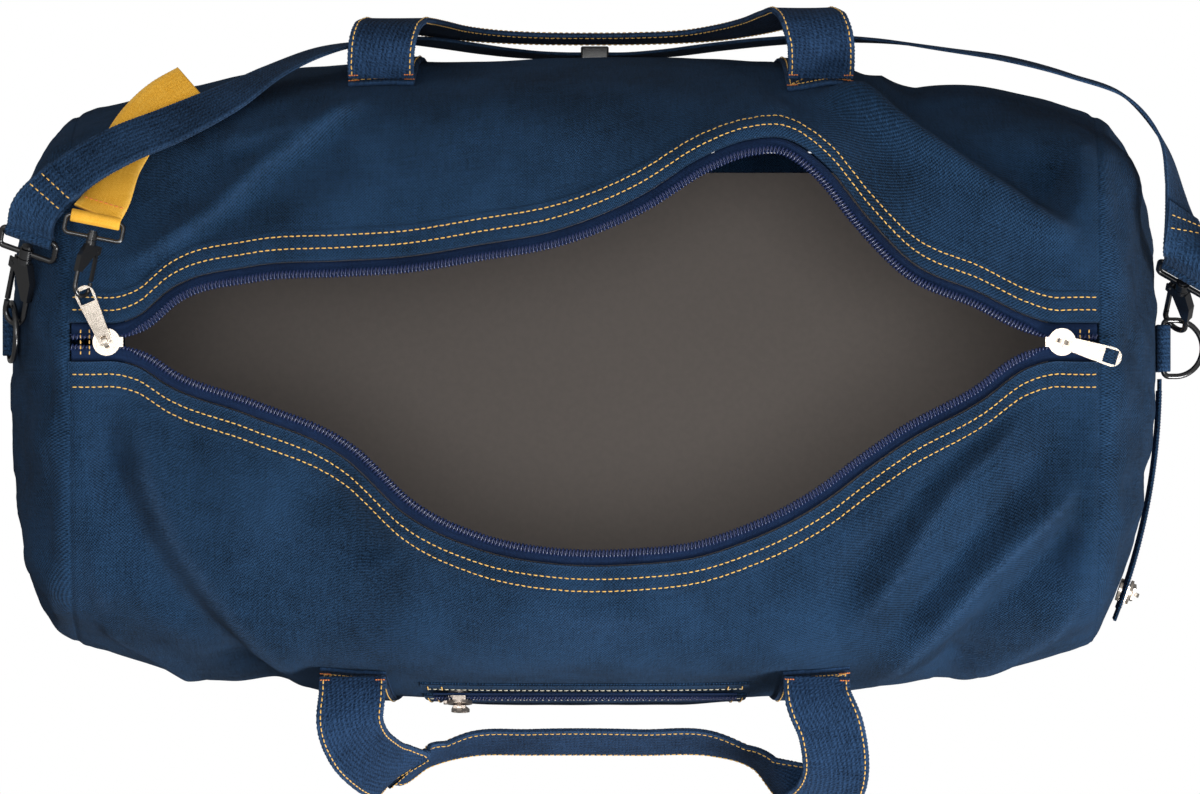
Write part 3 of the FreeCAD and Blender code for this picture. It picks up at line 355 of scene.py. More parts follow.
# Folds in plan: line, half width, height of a ridge (+) or valley (-), step up to the line's left (+)
FOLDS = [
    ([(112, 170), (149, 145), (190, 116), (219, 97), (254, 73)], 10, 5.0, -5.0),
    ([(160, 165), (197, 137), (228, 115), (256, 92)], 20, -9.0, 0.0),
    ([(-110, 147), (-125, 137), (-164, 108), (-186, 86), (-211, 68), (-235, 55)], 7, 2.2, -1.6),
    ([(-120, 120), (-165, 92), (-200, 68)], 18, -2.4, 0.0),
    ([(-140, 130), (-170, 121), (-190, 119)], 8, 1.4, -1.0),
    ([(88, 158), (103, 138), (112, 112)], 12, 1.6, -1.4),
    ([(-248, -18), (-244, -36), (-240, -56), (-229, -84), (-206, -119), (-184, -152), (-160, -177)], 13, -6.5, 0.0),
    ([(-228, -22), (-224, -50), (-212, -81), (-189, -115), (-166, -143), (-146, -165)], 15, 2.8, 0.0),
    ([(-258, -128), (-246, -136), (-230, -151), (-212, -166)], 6, 2.4, 0.0),
    ([(-262, -60), (-256, -100), (-248, -122)], 12, 2.0, 0.0),
    ([(-131, -50), (-116, -72), (-109, -97)], 13, -2.6, 0.0),
    ([(262, -66), (250, -82), (232, -103), (209, -135), (190, -168)], 13, -6.0, 0.0),
    ([(268, -108), (237, -138), (204, -167)], 8, 3.0, 0.0),
    ([(258, -54), (238, -74), (207, -102), (178, -136), (150, -166)], 9, 3.4, 0.0),
    ([(243, -30), (221, -61), (200, -83), (181, -110), (160, -136)], 9, -3.4, 0.0),
    ([(228, -17), (210, -37), (190, -56), (177, -75), (162, -102), (140, -130)], 9, 2.8, 0.0),
    ([(214, -12), (199, -32), (177, -53), (165, -71), (146, -90), (128, -118)], 10, -3.2, 0.0),
    ([(186, -20), (161, -42), (141, -63), (118, -92)], 14, 1.8, 0.0),
    ([(262, 20), (259, 60), (262, 105), (266, 140)], 9, 2.4, 0.0),
    ([(-40, -110), (0, -125), (40, -128)], 20, 1.4, 0.0),
]


FOLD_DEPTH = 1.9                  # every fold's height is times this


def fold_height(points):
    total = np.zeros(points.shape[:-1])
    crest = np.zeros(points.shape[:-1])
    for line, width, ridge, step in FOLDS:
        dist, sign, along = plan_distance(points, line)
        fade = np.clip(np.minimum(along, 1 - along) * 6 + 0.15, 0, 1)
        bell = np.exp(-(dist / width) ** 2)
        total += fade * bell * (ridge + step * sign * dist / width * 1.6)
        # narrow mask along the ridge tops; it becomes a painted highlight in the cloth colour
        if ridge > 0:
            crest += fade * np.exp(-(dist / (width * 0.28)) ** 2) * min(ridge / 5.0, 1.0)
    seam_fade = 1 - gentle(np.abs(points[..., 0]), 244, 262)
    return total * FOLD_DEPTH * seam_fade, crest * seam_fade


def rumple(points, scale, height, seed):
    flat = points.reshape(-1, 3) / scale
    values = [noise.noise(Vector((p[0] + seed, p[1], p[2]))) for p in flat]
    return np.array(values).reshape(points.shape[:-1]) * height


COLS = 361
NEAR_ROWS = 34
ROWS = 170


def gentle(x, low, high):
    t = np.clip((x - low) / (high - low), 0, 1)
    return t * t * (3 - 2 * t)


class Panel:
    """A side panel's outer face: grid from end to end and from lip to base."""

    def __init__(self, side):
        self.side = side
        s = np.linspace(-1, 1, COLS)
        flat = np.zeros((COLS, ROWS, 3))
        run = np.zeros((COLS, ROWS))
        for i, value in enumerate(s):
            line = outline(value, side)[::-1]
            dense = smooth_line(line, 1.5)
            along = lengths(dense)
            rows = np.concatenate([
                np.arange(NEAR_ROWS) * 0.6,
                np.linspace(NEAR_ROWS * 0.6, along[-1], ROWS - NEAR_ROWS),
            ])
            y = np.interp(rows, along, dense[:, 0])
            z = np.interp(rows, along, dense[:, 1])
            flat[i, :, 0] = value * (TOP_LENGTH / 2 + LEAN * (HEIGHT - z))
            flat[i, :, 1] = y
            flat[i, :, 2] = z
            run[i] = rows
        self.s = s
        self.run = run
        self.flat = flat
        normal = self.normals(flat)
        folds, crest = fold_height(flat[..., :2])
        x, z = flat[..., 0], flat[..., 2]
        from_lip = gentle(run, 4, 30)
        from_end = gentle(MOUTH_HALF + LEAN * (HEIGHT - z) - np.abs(x), 0, 14)
        from_base = gentle(z, 2, 50)
        calm = np.ones_like(x)
        if side < 0:
            calm = 1 - (1 - gentle(np.abs(x), 92, 104)) * (1 - gentle(z, 198, 214))
        near_foot = (1 - gentle(np.abs(np.abs(x) - 122), 20, 34)) * (1 - gentle(np.abs(z - 120), 92, 108))
        calm = calm * (1 - 0.8 * near_foot)
        soft = rumple(flat, 70.0, 3.0, 3.0 * side) + rumple(flat, 26.0, 1.0, 9.0 + side)
        seam_pucker = rumple(flat, 9.0, 1.3, 21.0) * (1 - gentle(MOUTH_HALF - np.abs(s[:, None]) * MOUTH_HALF, 2, 24))
        lift = (folds + soft) * from_lip * from_end * from_base * calm + seam_pucker * from_end * from_lip
        hem = 0.55 * (1 - gentle(run, 15.5, 17.0))
        for row in (6.5, 13.0):
            hem = hem - 0.4 * np.exp(-((run - row) / 1.0) ** 2)
        puckers = 0.18 * np.sin(x / 1.55) * np.exp(-((run - 10) / 6.0) ** 2)
        seam = -1.5 * np.exp(-((MOUTH_HALF - np.abs(s[:, None]) * MOUTH_HALF) / 2.2) ** 2)
        self.points = flat + normal * (lift + hem + puckers + seam)[..., None]
        self.normal = self.normals(self.points)
        # mask for the lighter cloth colour: painted highlight along fold crests, plus real rubbing along the lip edge
        self.wear_and_highlight = np.clip(crest * from_lip * 0.5 + 0.25 * np.exp(-(run / 1.2) ** 2), 0, 1)

    def normals(self, grid):
        across = np.gradient(grid, axis=0)
        down = np.gradient(grid, axis=1)
        return unit_rows(np.cross(across, down)) * self.side

    def sample(self, s, run):
        """Point and normal at section s and distance from the lip."""
        s = np.asarray(s, float)
        i = np.clip((s + 1) / 2 * (COLS - 1), 0, COLS - 1.001)
        a = i.astype(int)
        f = i - a
        points, normals = [], []
        for k in range(len(a)):
            out = []
            for c in (a[k], a[k] + 1):
                j = np.interp(run[k], self.run[c], np.arange(ROWS))
                j0 = min(int(j), ROWS - 2)
                g = j - j0
                out.append((self.points[c, j0] * (1 - g) + self.points[c, j0 + 1] * g,
                            self.normal[c, j0] * (1 - g) + self.normal[c, j0 + 1] * g))
            points.append(out[0][0] * (1 - f[k]) + out[1][0] * f[k])
            normals.append(out[0][1] * (1 - f[k]) + out[1][1] * f[k])
        return np.array(points), unit_rows(np.array(normals))

    def at(self, x, z, out=0.0):
        """Point and normal on the flank at x and height z, moved out."""
        x = np.asarray(x, float).ravel()
        z = np.asarray(z, float).ravel()
        s = x / (TOP_LENGTH / 2 + LEAN * (HEIGHT - z))
        i = np.clip((s + 1) / 2 * (COLS - 1), 0, COLS - 1.001).astype(int)
        run = np.array([np.interp(-z[k], -self.flat[i[k], :, 2], self.run[i[k]]) for k in range(len(x))])
        points, normals = self.sample(s, run)
        return points + normals * out, normals


FRONT = Panel(-1)
BACK = Panel(1)


def shell(name, panel, node):
    """Closed canvas shell: outer grid, turned edges and inner grid."""
    outer = panel.points
    inner = panel.points - panel.normal * CANVAS
    n, m = COLS, ROWS
    verts = np.concatenate([outer.reshape(-1, 3), inner.reshape(-1, 3)])
    flip = panel.side > 0
    faces = grid_faces(n, m, flip=not flip)
    faces += grid_faces(n, m, start=n * m, flip=flip)
    rim = [(i, 0) for i in range(n)] + [(n - 1, j) for j in range(1, m)]
    rim += [(i, m - 1) for i in range(n - 2, -1, -1)] + [(0, j) for j in range(m - 2, 0, -1)]
    ids = [i * m + j for i, j in rim]
    for a, b in zip(ids, ids[1:] + ids[:1]):
        faces.append((a, b, b + n * m, a + n * m) if flip else (b, a, a + n * m, b + n * m))
    x = panel.flat[..., 0]
    uv = np.stack([x, panel.run], -1).reshape(-1, 2)
    uv = np.concatenate([uv, uv])
    wear_and_highlight = np.concatenate([panel.wear_and_highlight.ravel(), panel.wear_and_highlight.ravel() * 0])
    return build(name, verts, faces, CANVAS_LOOK, uv=uv, wear_and_highlight=wear_and_highlight, replaces=(node,))


shell("front_canvas", FRONT, "front_panel")
shell("back_canvas", BACK, "back_panel")


# ---------------------------------------------------------------- end panels, base and bindings

SEAM_NORMAL = unit_rows(np.array([1.0, 0.0, LEAN]))
SEAM_UP = unit_rows(np.array([-LEAN, 0.0, 1.0]))
DOME_K = [1.0, 0.975, 0.95, 0.88, 0.78, 0.65, 0.5, 0.25, 0.0]
DOME_OUT = [0.0, 0.19, 0.32, 0.55, 0.75, 0.9, 1.0, 1.07, 1.09]


def end_ring(end, inset, k_back, k_front, k_high, out, count=(70, 10, 70, 36)):
    """Closed ring of points of an end panel's outline, shrunk and moved out of the seam."""
    back = outline(1, 1, -inset)
    front = outline(1, -1, -inset)
    back[0] = (back[0][0], inset)
    front[0] = (front[0][0], inset)

    def part(points, n):
        along = lengths(points)
        return hermite(along, points, np.linspace(0, along[-1], n + 1))[:-1]

    def straight(a, b, n):
        return a + (b - a) * np.linspace(0, 1, n + 1)[:-1, None]

    ring = np.concatenate([part(back, count[0]), straight(back[-1], front[-1], count[1]),
                           part(front[::-1], count[2]), straight(front[0], back[0], count[3])])
    k = np.where(ring[:, 0] > 0, k_back, k_front)
    y = ring[:, 0] * k
    z = DOME_CENTRE + (ring[:, 1] - DOME_CENTRE) * k_high
    x = TOP_LENGTH / 2 + LEAN * (HEIGHT - z)
    return np.stack([end * (x + SEAM_NORMAL[0] * out), y, z + SEAM_NORMAL[2] * out], 1)


def arc_share(out):
    radial = END_ARC - DOME * (1 - out)
    return min(max(math.sqrt(max(END_ARC ** 2 - radial ** 2, 0)) / BULGE_END, 0.2), 1.0)


def end_panel(name, end, node, round_front):
    shares = hermite(np.arange(len(DOME_K)), np.array(DOME_K), np.linspace(0, len(DOME_K) - 1, 49))
    outs = hermite(np.arange(len(DOME_OUT)), np.array(DOME_OUT), np.linspace(0, len(DOME_OUT) - 1, 49))
    rings = []
    for k, out in zip(shares, outs):
        if round_front:
            out = min(out, 1.0) if k > 0.4 else 1.0
            k_front = arc_share(out) if k >= 0.5 else arc_share(1.0) * k / 0.5
            rings.append(end_ring(end, 0.2, k, k_front, k, out * DOME))
        else:
            rings.append(end_ring(end, 0.2, k, k, k, out * DOME))
    grid = np.array(rings)
    down = np.gradient(grid, axis=0)
    around = np.roll(grid, -1, axis=1) - np.roll(grid, 1, axis=1)
    normal = unit_rows(np.cross(around, down))
    if (normal[10, :, 0] * end).mean() < 0:
        normal = -normal
    depth = lengths(grid[:, 20])[:, None] * np.ones(grid.shape[1])
    from_seam = gentle(depth, 0, 16)
    upper = gentle(grid[..., 2], 100, 200)
    folds = rumple(grid * np.array([1, 1, 0.35]), 22.0, 4.2, 5.0 + end) * upper
    folds += rumple(grid, 60.0, 3.0, 2.0 + end) + rumple(grid, 9.0, 0.9, 8.0)
    calm = 1.0
    if round_front:
        calm = 1 - (1 - gentle(np.abs(grid[..., 2] - 120), 14, 26)) * (1 - gentle(grid[..., 1], 0, 30))
    tab_y = 24.0 if end < 0 else 16.0
    tab_z = 212.0 if end < 0 else 176.0
    off_tab_y = 1 - gentle(np.abs(grid[..., 1] - tab_y), 12, 26)
    off_tab_z = 1 - gentle(np.abs(grid[..., 2] - tab_z), 20, 38)
    calm = calm * (1 - off_tab_y * off_tab_z)
    lift = folds * from_seam * calm - 1.2 * np.exp(-(depth / 2.0) ** 2)
    outer = grid + normal * np.minimum(lift, 2.0 + 0 * lift)[..., None]
    inner = outer - normal * CANVAS
    n, m = outer.shape[0], outer.shape[1]
    verts = np.concatenate([outer.reshape(-1, 3), inner.reshape(-1, 3)])
    flip = end > 0
    faces = grid_faces(n, m, wrap_m=True, flip=flip) + grid_faces(n, m, wrap_m=True, start=n * m, flip=not flip)
    for j in range(m):
        a, b = j, (j + 1) % m
        faces.append((a, b, b + n * m, a + n * m) if not flip else (b, a, a + n * m, b + n * m))
    uv = np.stack([grid[..., 1], grid[..., 2]], -1).reshape(-1, 2)
    build(name, verts, faces, CANVAS_LOOK, uv=np.concatenate([uv, uv]), replaces=(node,))
    return outer


end_panel("left_end_canvas", -1, "left_end_panel", False)
end_panel("right_end_canvas", 1, "right_end_panel", True)


def binding(name, end, node):
    first = end_ring(end, 2.6, 1, 1, 1, 0)
    open_part = (np.abs(first[:, 1] - ZIP_Y) < 25) & (first[:, 2] > 200)
    shift = np.argmax(open_part)
    rings = []
    for inset, along in ((2.6, 0.0), (2.6, 10.0), (4.2, 10.0), (4.2, 0.0)):
        ring = end_ring(end, inset, 1, 1, 1, 0)
        ring[:, 0] -= end * along
        rings.append(np.roll(ring, -shift, axis=0)[np.count_nonzero(open_part):])
    grid = np.array(rings)
    grid += (rumple(grid, 7.0, 0.6, 4.0))[..., None] * np.array([0.4, 0.2, 0.2])
    n, m = grid.shape[:2]
    faces = grid_faces(n, m, wrap_n=True, flip=end > 0)
    faces += [(0, m, 2 * m, 3 * m), (m - 1, 4 * m - 1, 3 * m - 1, 2 * m - 1)]
    along = lengths(grid[0])
    uv = np.stack([np.repeat([0.0, 10.0, 12.0, 22.0], m), np.tile(along, 4)], 1)
    build(name, grid.reshape(-1, 3), faces, BIND_LOOK, uv=uv, replaces=(node,))


binding("left_binding", -1, "left_seam_binding")
binding("right_binding", 1, "right_seam_binding")


def base_sheet():
    low, high = (np.array(v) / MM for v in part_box("base_panel"))
    xs = np.linspace(low[0], high[0], 121)
    ys = np.linspace(low[1], high[1], 61)
    gx, gy = np.meshgrid(xs, ys, indexing="ij")
    edge = np.minimum(high[0] - np.abs(gx), high[1] - np.abs(gy))
    wave = rumple(np.stack([gx, gy, gx * 0], -1), 40.0, 0.5, 1.0) * gentle(edge, 2, 30)
    bottom = np.stack([gx, gy, low[2] + 0.3 + wave + 0.4 * (1 - gentle(edge, 0, 4))], -1)
    top = np.stack([gx, gy, high[2] + 0 * gx], -1)
    verts = np.concatenate([bottom.reshape(-1, 3), top.reshape(-1, 3)])
    n, m = gx.shape
    faces = grid_faces(n, m, flip=True) + grid_faces(n, m, start=n * m)
    rim = [(i, 0) for i in range(n)] + [(n - 1, j) for j in range(1, m)]
    rim += [(i, m - 1) for i in range(n - 2, -1, -1)] + [(0, j) for j in range(m - 2, 0, -1)]
    ids = [i * m + j for i, j in rim]
    for a, b in zip(ids, ids[1:] + ids[:1]):
        faces.append((a, b, b + n * m, a + n * m))
    uv = np.stack([gx, gy], -1).reshape(-1, 2)
    build("base_canvas", verts, faces, CANVAS_LOOK, uv=np.concatenate([uv, uv]),
          replaces=("base_panel",))


base_sheet()


# ---------------------------------------------------------------- stitches

class Stitches:
    """Rows of single thread stitches gathered into one mesh."""

    SIDES = 6

    def __init__(self):
        self.verts = []
        self.faces = []

    def row(self, points, normals, pitch=3.2, length=2.35, radius=0.36, sink=0.05, wobble=0.12):
        points = np.asarray(points, float)
        normals = np.asarray(normals, float)
        along = lengths(points)
        count = max(int(along[-1] / pitch), 1)
        step = along[-1] / count
        for i in range(count):
            mid = (i + 0.5) * step
            half = length / 2 * random.uniform(0.93, 1.05)
            ends = []
            for at in (mid - half, mid, mid + half):
                ends.append(np.array([np.interp(at, along, points[:, k]) for k in range(3)]))
            up = np.array([np.interp(mid, along, normals[:, k]) for k in range(3)])
            self.one(ends, up, radius, sink, random.uniform(-wobble, wobble))

    def one(self, ends, up, radius, sink=0.05, turn=0.0):
        way = ends[2] - ends[0]
        way = way / max(np.linalg.norm(way), 1e-9)
        up = up - way * (up @ way)
        up = up / max(np.linalg.norm(up), 1e-9)
        side = np.cross(way, up)
        start = len(self.verts)
        skew = side * turn
        spine = [(ends[0] - skew - up * 0.25, 0.12), (ends[0] * 0.8 + ends[1] * 0.2 - skew * 0.8, 0.85),
                 (ends[1] + up * 0.08, 1.0), (ends[2] * 0.8 + ends[1] * 0.2 + skew * 0.8, 0.85),
                 (ends[2] + skew - up * 0.25, 0.12)]
        for centre, share in spine:
            for k in range(self.SIDES):
                a = 2 * math.pi * k / self.SIDES
                self.verts.append(centre + up * (radius * (0.8 - sink) + radius * share * math.sin(a) * 0.8)
                                  + side * (radius * share * math.cos(a)))
        self.faces += grid_faces(5, self.SIDES, wrap_m=True, start=start)
        self.faces.append(tuple(start + k for k in range(self.SIDES)))
        self.faces.append(tuple(start + 4 * self.SIDES + k for k in range(self.SIDES - 1, -1, -1)))

    def finish(self, name, material, body="bag"):
        return build(name, np.array(self.verts), self.faces, material, body=body)


gold = Stitches()
for panel in (FRONT, BACK):
    s = np.linspace(-0.992, 0.992, 700)
    for distance in (6.5, 13.0):
        points, normals = panel.sample(s, np.full(len(s), distance))
        gold.row(points, normals)
for x in (-256.5, -252.0, 252.5, 257.0):
    y = np.linspace(3.0, 33.0, 12)
    y = y[(y > 8.5) & (y < 27.5)]
    gold.row(np.stack([np.full(len(y), x), y, np.full(len(y), 262.6)], 1), np.tile([0, 0, 1.0], (len(y), 1)), pitch=2.6,
             length=1.9)
gold.finish("mouth_topstitching", GOLD)


# ---------------------------------------------------------------- main zip

def lip_line(side, distance, drop):
    """Line that follows the canvas edge, distance inward from it and drop below its top."""
    x = np.linspace(-MOUTH_HALF + 1.5, MOUTH_HALF - 1.5, 900)
    back, front = mouth_edges(x)
    z = LIP_HEIGHT - LIP_SAG * (back - front - 20) / 200
    y = back if side > 0 else front
    slope = np.gradient(y, x)
    norm = np.hypot(slope, 1)
    way = np.stack([slope / norm, -1 / norm], 1) * side
    px = x * (TOP_LENGTH / 2) / MOUTH_HALF + 0 * x
    straight = gentle(np.abs(x), 236, 250)
    shrink = way[:, 1] * (1 - straight) + -side * straight
    skew = way[:, 0] * (1 - straight)
    return np.stack([px + skew * distance, y + shrink * distance, z - drop], 1)


def strip(name, a, b, thick, material, uv_width, replaces=(), ribs=0.0):
    """Flat tape between two lines, square in section."""
    a = resample(a, 1.2)
    b = np.stack([np.interp(lengths(a) / lengths(a)[-1], lengths(b) / lengths(b)[-1], b[:, k]) for k in range(3)], 1)
    cross = [(0.0, 0.0), (0.0, 1.0), (0.35, 1.0), (0.7, 1.0), (1.0, 1.0), (1.0, 0.0)]
    rows = []
    run = lengths(a)
    for share, level in cross:
        line = a * (1 - share) + b * share
        line = line + np.array([0, 0, 1.0]) * (level - 1) * thick
        line[:, 2] += ribs * np.sin(run * 2 * math.pi / 2.0) * level
        rows.append(line)
    grid = np.array(rows)
    n, m = grid.shape[:2]
    uv = np.stack([np.repeat([c[0] * uv_width + (c[1] - 1) for c in cross], m), np.tile(run, n)], 1)
    return build(name, grid.reshape(-1, 3), grid_faces(n, m, wrap_n=True), material, uv=uv,
                 replaces=replaces)


def coil(name, line, normals, half, high, pitch, wire, phase, node=()):
    """Spiral of nylon along a line; half is the half width (a number or one per point)."""
    along = lengths(line)
    steps = int(along[-1] / pitch * 12)
    at = np.linspace(0, along[-1], steps)
    centre = np.stack([np.interp(at, along, line[:, k]) for k in range(3)], 1)
    up = unit_rows(np.stack([np.interp(at, along, normals[:, k]) for k in range(3)], 1))
    half = np.interp(at, along, half) if np.ndim(half) else np.full(steps, half)
    way = unit_rows(np.gradient(centre, axis=0))
    side = np.cross(way, up)
    angle = 2 * math.pi * at / pitch + phase
    squared = np.sign(np.cos(angle)) * np.abs(np.cos(angle)) ** 0.8
    path = centre + side * (half * squared)[:, None] + up * (high * np.sin(angle))[:, None]
    run = unit_rows(np.gradient(path, axis=0))
    lift = unit_rows(up - run * np.sum(up * run, 1)[:, None])
    edge = np.cross(run, lift)
    verts = []
    for k in range(6):
        a = 2 * math.pi * k / 6
        verts.append(path + lift * (wire * math.sin(a)) + edge * (wire * math.cos(a)))
    grid = np.array(verts)
    n, m = grid.shape[:2]
    faces = grid_faces(n, m, wrap_n=True)
    faces += [tuple(k * m for k in range(n)), tuple(k * m + m - 1 for k in range(n - 1, -1, -1))]
    return build(name, grid.reshape(-1, 3), faces, COIL_LOOK, replaces=node)


for side, word in ((-1, "front"), (1, "back")):
    strip("main_tape_" + word, lip_line(side, 0.5, 1.3), lip_line(side, 8.0, 1.3), 0.7, TAPE_LOOK, 7.5,
          replaces=("main_zip_tape_" + word,), ribs=0.08)
    line = lip_line(side, 7.4, 0.0)
    line[:, 2] += -1.1 + 1.2
    wide = 1.0 - gentle(np.abs(line[:, 0]), 224, 234)
    line = line + (lip_line(side, 6.6, 0.0) - lip_line(side, 7.4, 0.0)) * wide[:, None]
    up = np.tile([0, 0, 1.0], (len(line), 1))
    shut = gentle(np.abs(line[:, 0]), 254, 258)
    coil("main_coil_" + word, line, up, 0.75 + 1.15 * wide + 0.45 * shut, 0.7, 1.9, 0.42, math.pi * (side > 0),
         node=("main_zip_coil_" + word,))


# ---------------------------------------------------------------- patches on the panels: pocket and handle legs

def patch(name, panel, x_range, z_range, low, high, material, node, edge=0.8, step=1.6, bulge=0.0):
    """A sewn layer that follows a side panel, with a turned edge."""
    xs = np.arange(x_range[0], x_range[1] + 0.01, (x_range[1] - x_range[0]) / round((x_range[1] - x_range[0]) / step))
    zs = np.arange(z_range[0], z_range[1] + 0.01, (z_range[1] - z_range[0]) / round((z_range[1] - z_range[0]) / step))
    gx, gz = np.meshgrid(xs, zs, indexing="ij")
    n, m = gx.shape
    rim = np.minimum(np.minimum(gx - x_range[0], x_range[1] - gx), np.minimum(gz - z_range[0], z_range[1] - gz))
    round_off = edge * (1 - gentle(rim, -0.5, 3.0))
    soft = rumple(np.stack([gx, gx * 0, gz], -1), 24.0, 0.5, 2.0)
    points, normals = panel.at(gx, gz)
    swell = bulge * gentle(rim, 6, 40)
    top = points + normals * (high - round_off + soft * gentle(rim, 2, 10) * 0.6 + swell).ravel()[:, None]
    bottom = points + normals * low
    verts = np.concatenate([top, bottom])
    flip = panel.side < 0
    faces = grid_faces(n, m, flip=flip) + grid_faces(n, m, start=n * m, flip=not flip)
    loop = [(i, 0) for i in range(n)] + [(n - 1, j) for j in range(1, m)]
    loop += [(i, m - 1) for i in range(n - 2, -1, -1)] + [(0, j) for j in range(m - 2, 0, -1)]
    ids = [i * m + j for i, j in loop]
    for a, b in zip(ids, ids[1:] + ids[:1]):
        faces.append((b, a, a + n * m, b + n * m))
    uv = np.stack([gx, gz], -1).reshape(-1, 2)
    wear_and_highlight = 0.35 * np.exp(-(rim / 1.3) ** 2).ravel()
    build(name, verts, faces, material, uv=np.concatenate([uv, uv]), wear_and_highlight=np.concatenate([wear_and_highlight, wear_and_highlight * 0]),
          replaces=(node,))


def panel_row(bucket, panel, x, z, out, **options):
    count = 160
    xs = np.linspace(x[0], x[1], count)
    zs = np.linspace(z[0], z[1], count)
    points, normals = panel.at(xs, zs, out)
    bucket.row(points, normals, **options)


patch("front_pocket_canvas", FRONT, (-88, 88), (38, 159), 0.3, 2.2, CANVAS_LOOK, "front_pocket",
      bulge=1.2)
patch("front_facing_canvas", FRONT, (-88, 88), (181, 190), 0.3, 2.2, CANVAS_LOOK,
      "front_pocket_facing", step=1.0)
pocket_gold = Stitches()
pocket_pale = Stitches()
for x in (-85.5, 85.5):
    for inset in (0, 5.0):
        panel_row(pocket_gold, FRONT, (x - math.copysign(inset, x),) * 2, (40, 157), 2.2)
panel_row(pocket_gold, FRONT, (-85, 85), (40.5, 40.5), 2.2)
panel_row(pocket_pale, FRONT, (-85, 85), (155.5, 155.5), 2.2)
panel_row(pocket_pale, FRONT, (-85, 85), (183.5, 183.5), 2.2)
for x in (-84, -76.5, 76.5, 84):
    panel_row(pocket_gold, FRONT, (x, x), (182, 189.5), 2.2, pitch=1.5, length=1.3)
pocket_gold.finish("front_pocket_stitching", GOLD)
pocket_pale.finish("front_pocket_edge_stitching", PALE)

leg_gold = Stitches()
leg_tacks = Stitches()
for panel, word, foot, middles in ((FRONT, "front", FRONT_FOOT, (-122, 122)), (BACK, "back", BACK_FOOT, (-107, 124))):
    for middle, hand in zip(middles, ("left", "right")):
        name = word + "_handle_" + hand + "_leg"
        top = foot[2] - 2.6
        patch(name + "_webbing", panel, (middle - 17.5, middle + 17.5), (30, top), 0.3, 2.8, GRIP_LOOK,
              name, edge=0.6)
        for edge in (-15.3, 15.3):
            panel_row(leg_gold, panel, (middle + edge,) * 2, (31.5, top - 1.5), 2.8)
        for z in (34, 60, top - 3, top - 26):
            panel_row(leg_gold, panel, (middle - 15, middle + 15), (z, z), 2.8)
        for a, b in (((-15, 34), (15, 60)), ((15, 34), (-15, 60)), ((-15, top - 26), (15, top - 3)),
                     ((15, top - 26), (-15, top - 3))):
            panel_row(leg_gold, panel, (middle + a[0], middle + b[0]), (a[1], b[1]), 2.8)
        for edge in (-14.5, 14.5):
            panel_row(leg_tacks, panel, (middle + edge - 3, middle + edge + 3), (top - 1.6, top - 1.6), 2.9,
                      pitch=1.2, length=1.1)
leg_gold.finish("handle_leg_stitching", GOLD)
leg_tacks.finish("handle_leg_tacks", ORANGE)


# ---------------------------------------------------------------- ribbons: handles, strap and tag

class Ribbon:
    """Webbing swept through (centre, width direction) stations."""

    def __init__(self, stations, step=0.8):
        centres = np.array([c for c, _ in stations], float)
        widths = unit_rows(np.array([w for _, w in stations], float))
        along = lengths(centres)
        at = np.linspace(0, along[-1], int(along[-1] / step) + 1)
        self.centre = hermite(along, centres, at)
        self.way = unit_rows(np.gradient(self.centre, axis=0))
        wide = hermite(along, widths, at)
        self.side = unit_rows(wide - self.way * np.sum(wide * self.way, 1)[:, None])
        self.face = np.cross(self.way, self.side)
        self.run = lengths(self.centre)

    def cut(self, start, end):
        """The same ribbon between two distances."""
        other = Ribbon.__new__(Ribbon)
        keep = (self.run >= start) & (self.run <= end)
        for key in ("centre", "way", "side", "face", "run"):
            setattr(other, key, getattr(self, key)[keep])
        return other

    def mesh(self, name, width, thick, material, body, slot, replaces=(), lift=0.0, crown=0.0, picot=0.22, wear_and_highlight=0.4,
             ends=True):
        half, edge = width / 2, thick / 2
        cross = []
        for u in (-1.0, -0.8, -0.4, 0.0, 0.4, 0.8, 1.0):
            cross.append((u * (half - edge * 0.6), edge + crown * (1 - u * u)))
        cross += [(half - edge * 0.1, edge * 0.7), (half, 0.0), (half - edge * 0.1, -edge * 0.7)]
        for u in (1.0, 0.8, 0.4, 0.0, -0.4, -0.8, -1.0):
            cross.append((u * (half - edge * 0.6), -edge + crown * (1 - u * u)))
        cross += [(-half + edge * 0.1, -edge * 0.7), (-half, 0.0), (-half + edge * 0.1, edge * 0.7)]
        rows, uvs, worn_and_highlit = [], [], []
        ripple = picot * np.sin(self.run * 2 * math.pi / 1.9)
        for u, v in cross:
            far = abs(u) > half - edge * 0.7
            shift = ripple * np.sign(u) * (1.0 if far else 0.25)
            rows.append(self.centre + self.side * (u + shift)[:, None] + self.face * (v + lift))
            uvs.append(np.stack([np.full(len(self.run), u + (30 if v < 0 else 0)), self.run], 1))
            worn_and_highlit.append(np.full(len(self.run), wear_and_highlight if far else 0.0))
        grid = np.array(rows)
        n, m = grid.shape[:2]
        faces = grid_faces(n, m, wrap_n=True, flip=True)
        if ends:
            faces += [tuple(k * m for k in range(n)), tuple(k * m + m - 1 for k in range(n - 1, -1, -1))]
        return build(name, grid.reshape(-1, 3), faces, material, body=body, uv=np.concatenate(uvs),
                     wear_and_highlight=np.concatenate(worn_and_highlit), replaces=replaces)

    def edge_row(self, bucket, u, v, start=0.0, end=None, **options):
        end = self.run[-1] if end is None else end
        keep = (self.run >= start) & (self.run <= end)
        points = self.centre + self.side * u + self.face * v
        bucket.row(points[keep], (self.face * np.sign(v))[keep], **options)

    def cross_row(self, bucket, at, u0, u1, v, slope=0.0, **options):
        u = np.linspace(u0, u1, 24)
        points, normals = [], []
        for k in range(24):
            here = np.clip(at + slope * (u[k] - u0) / (u1 - u0), self.run[0], self.run[-1])
            i = int(np.clip(np.searchsorted(self.run, here), 0, len(self.run) - 1))
            points.append(self.centre[i] + self.way[i] * (here - self.run[i]) + self.side[i] * u[k] + self.face[i] * v)
            normals.append(self.face[i] * np.sign(v))
        bucket.row(points, normals, **options)


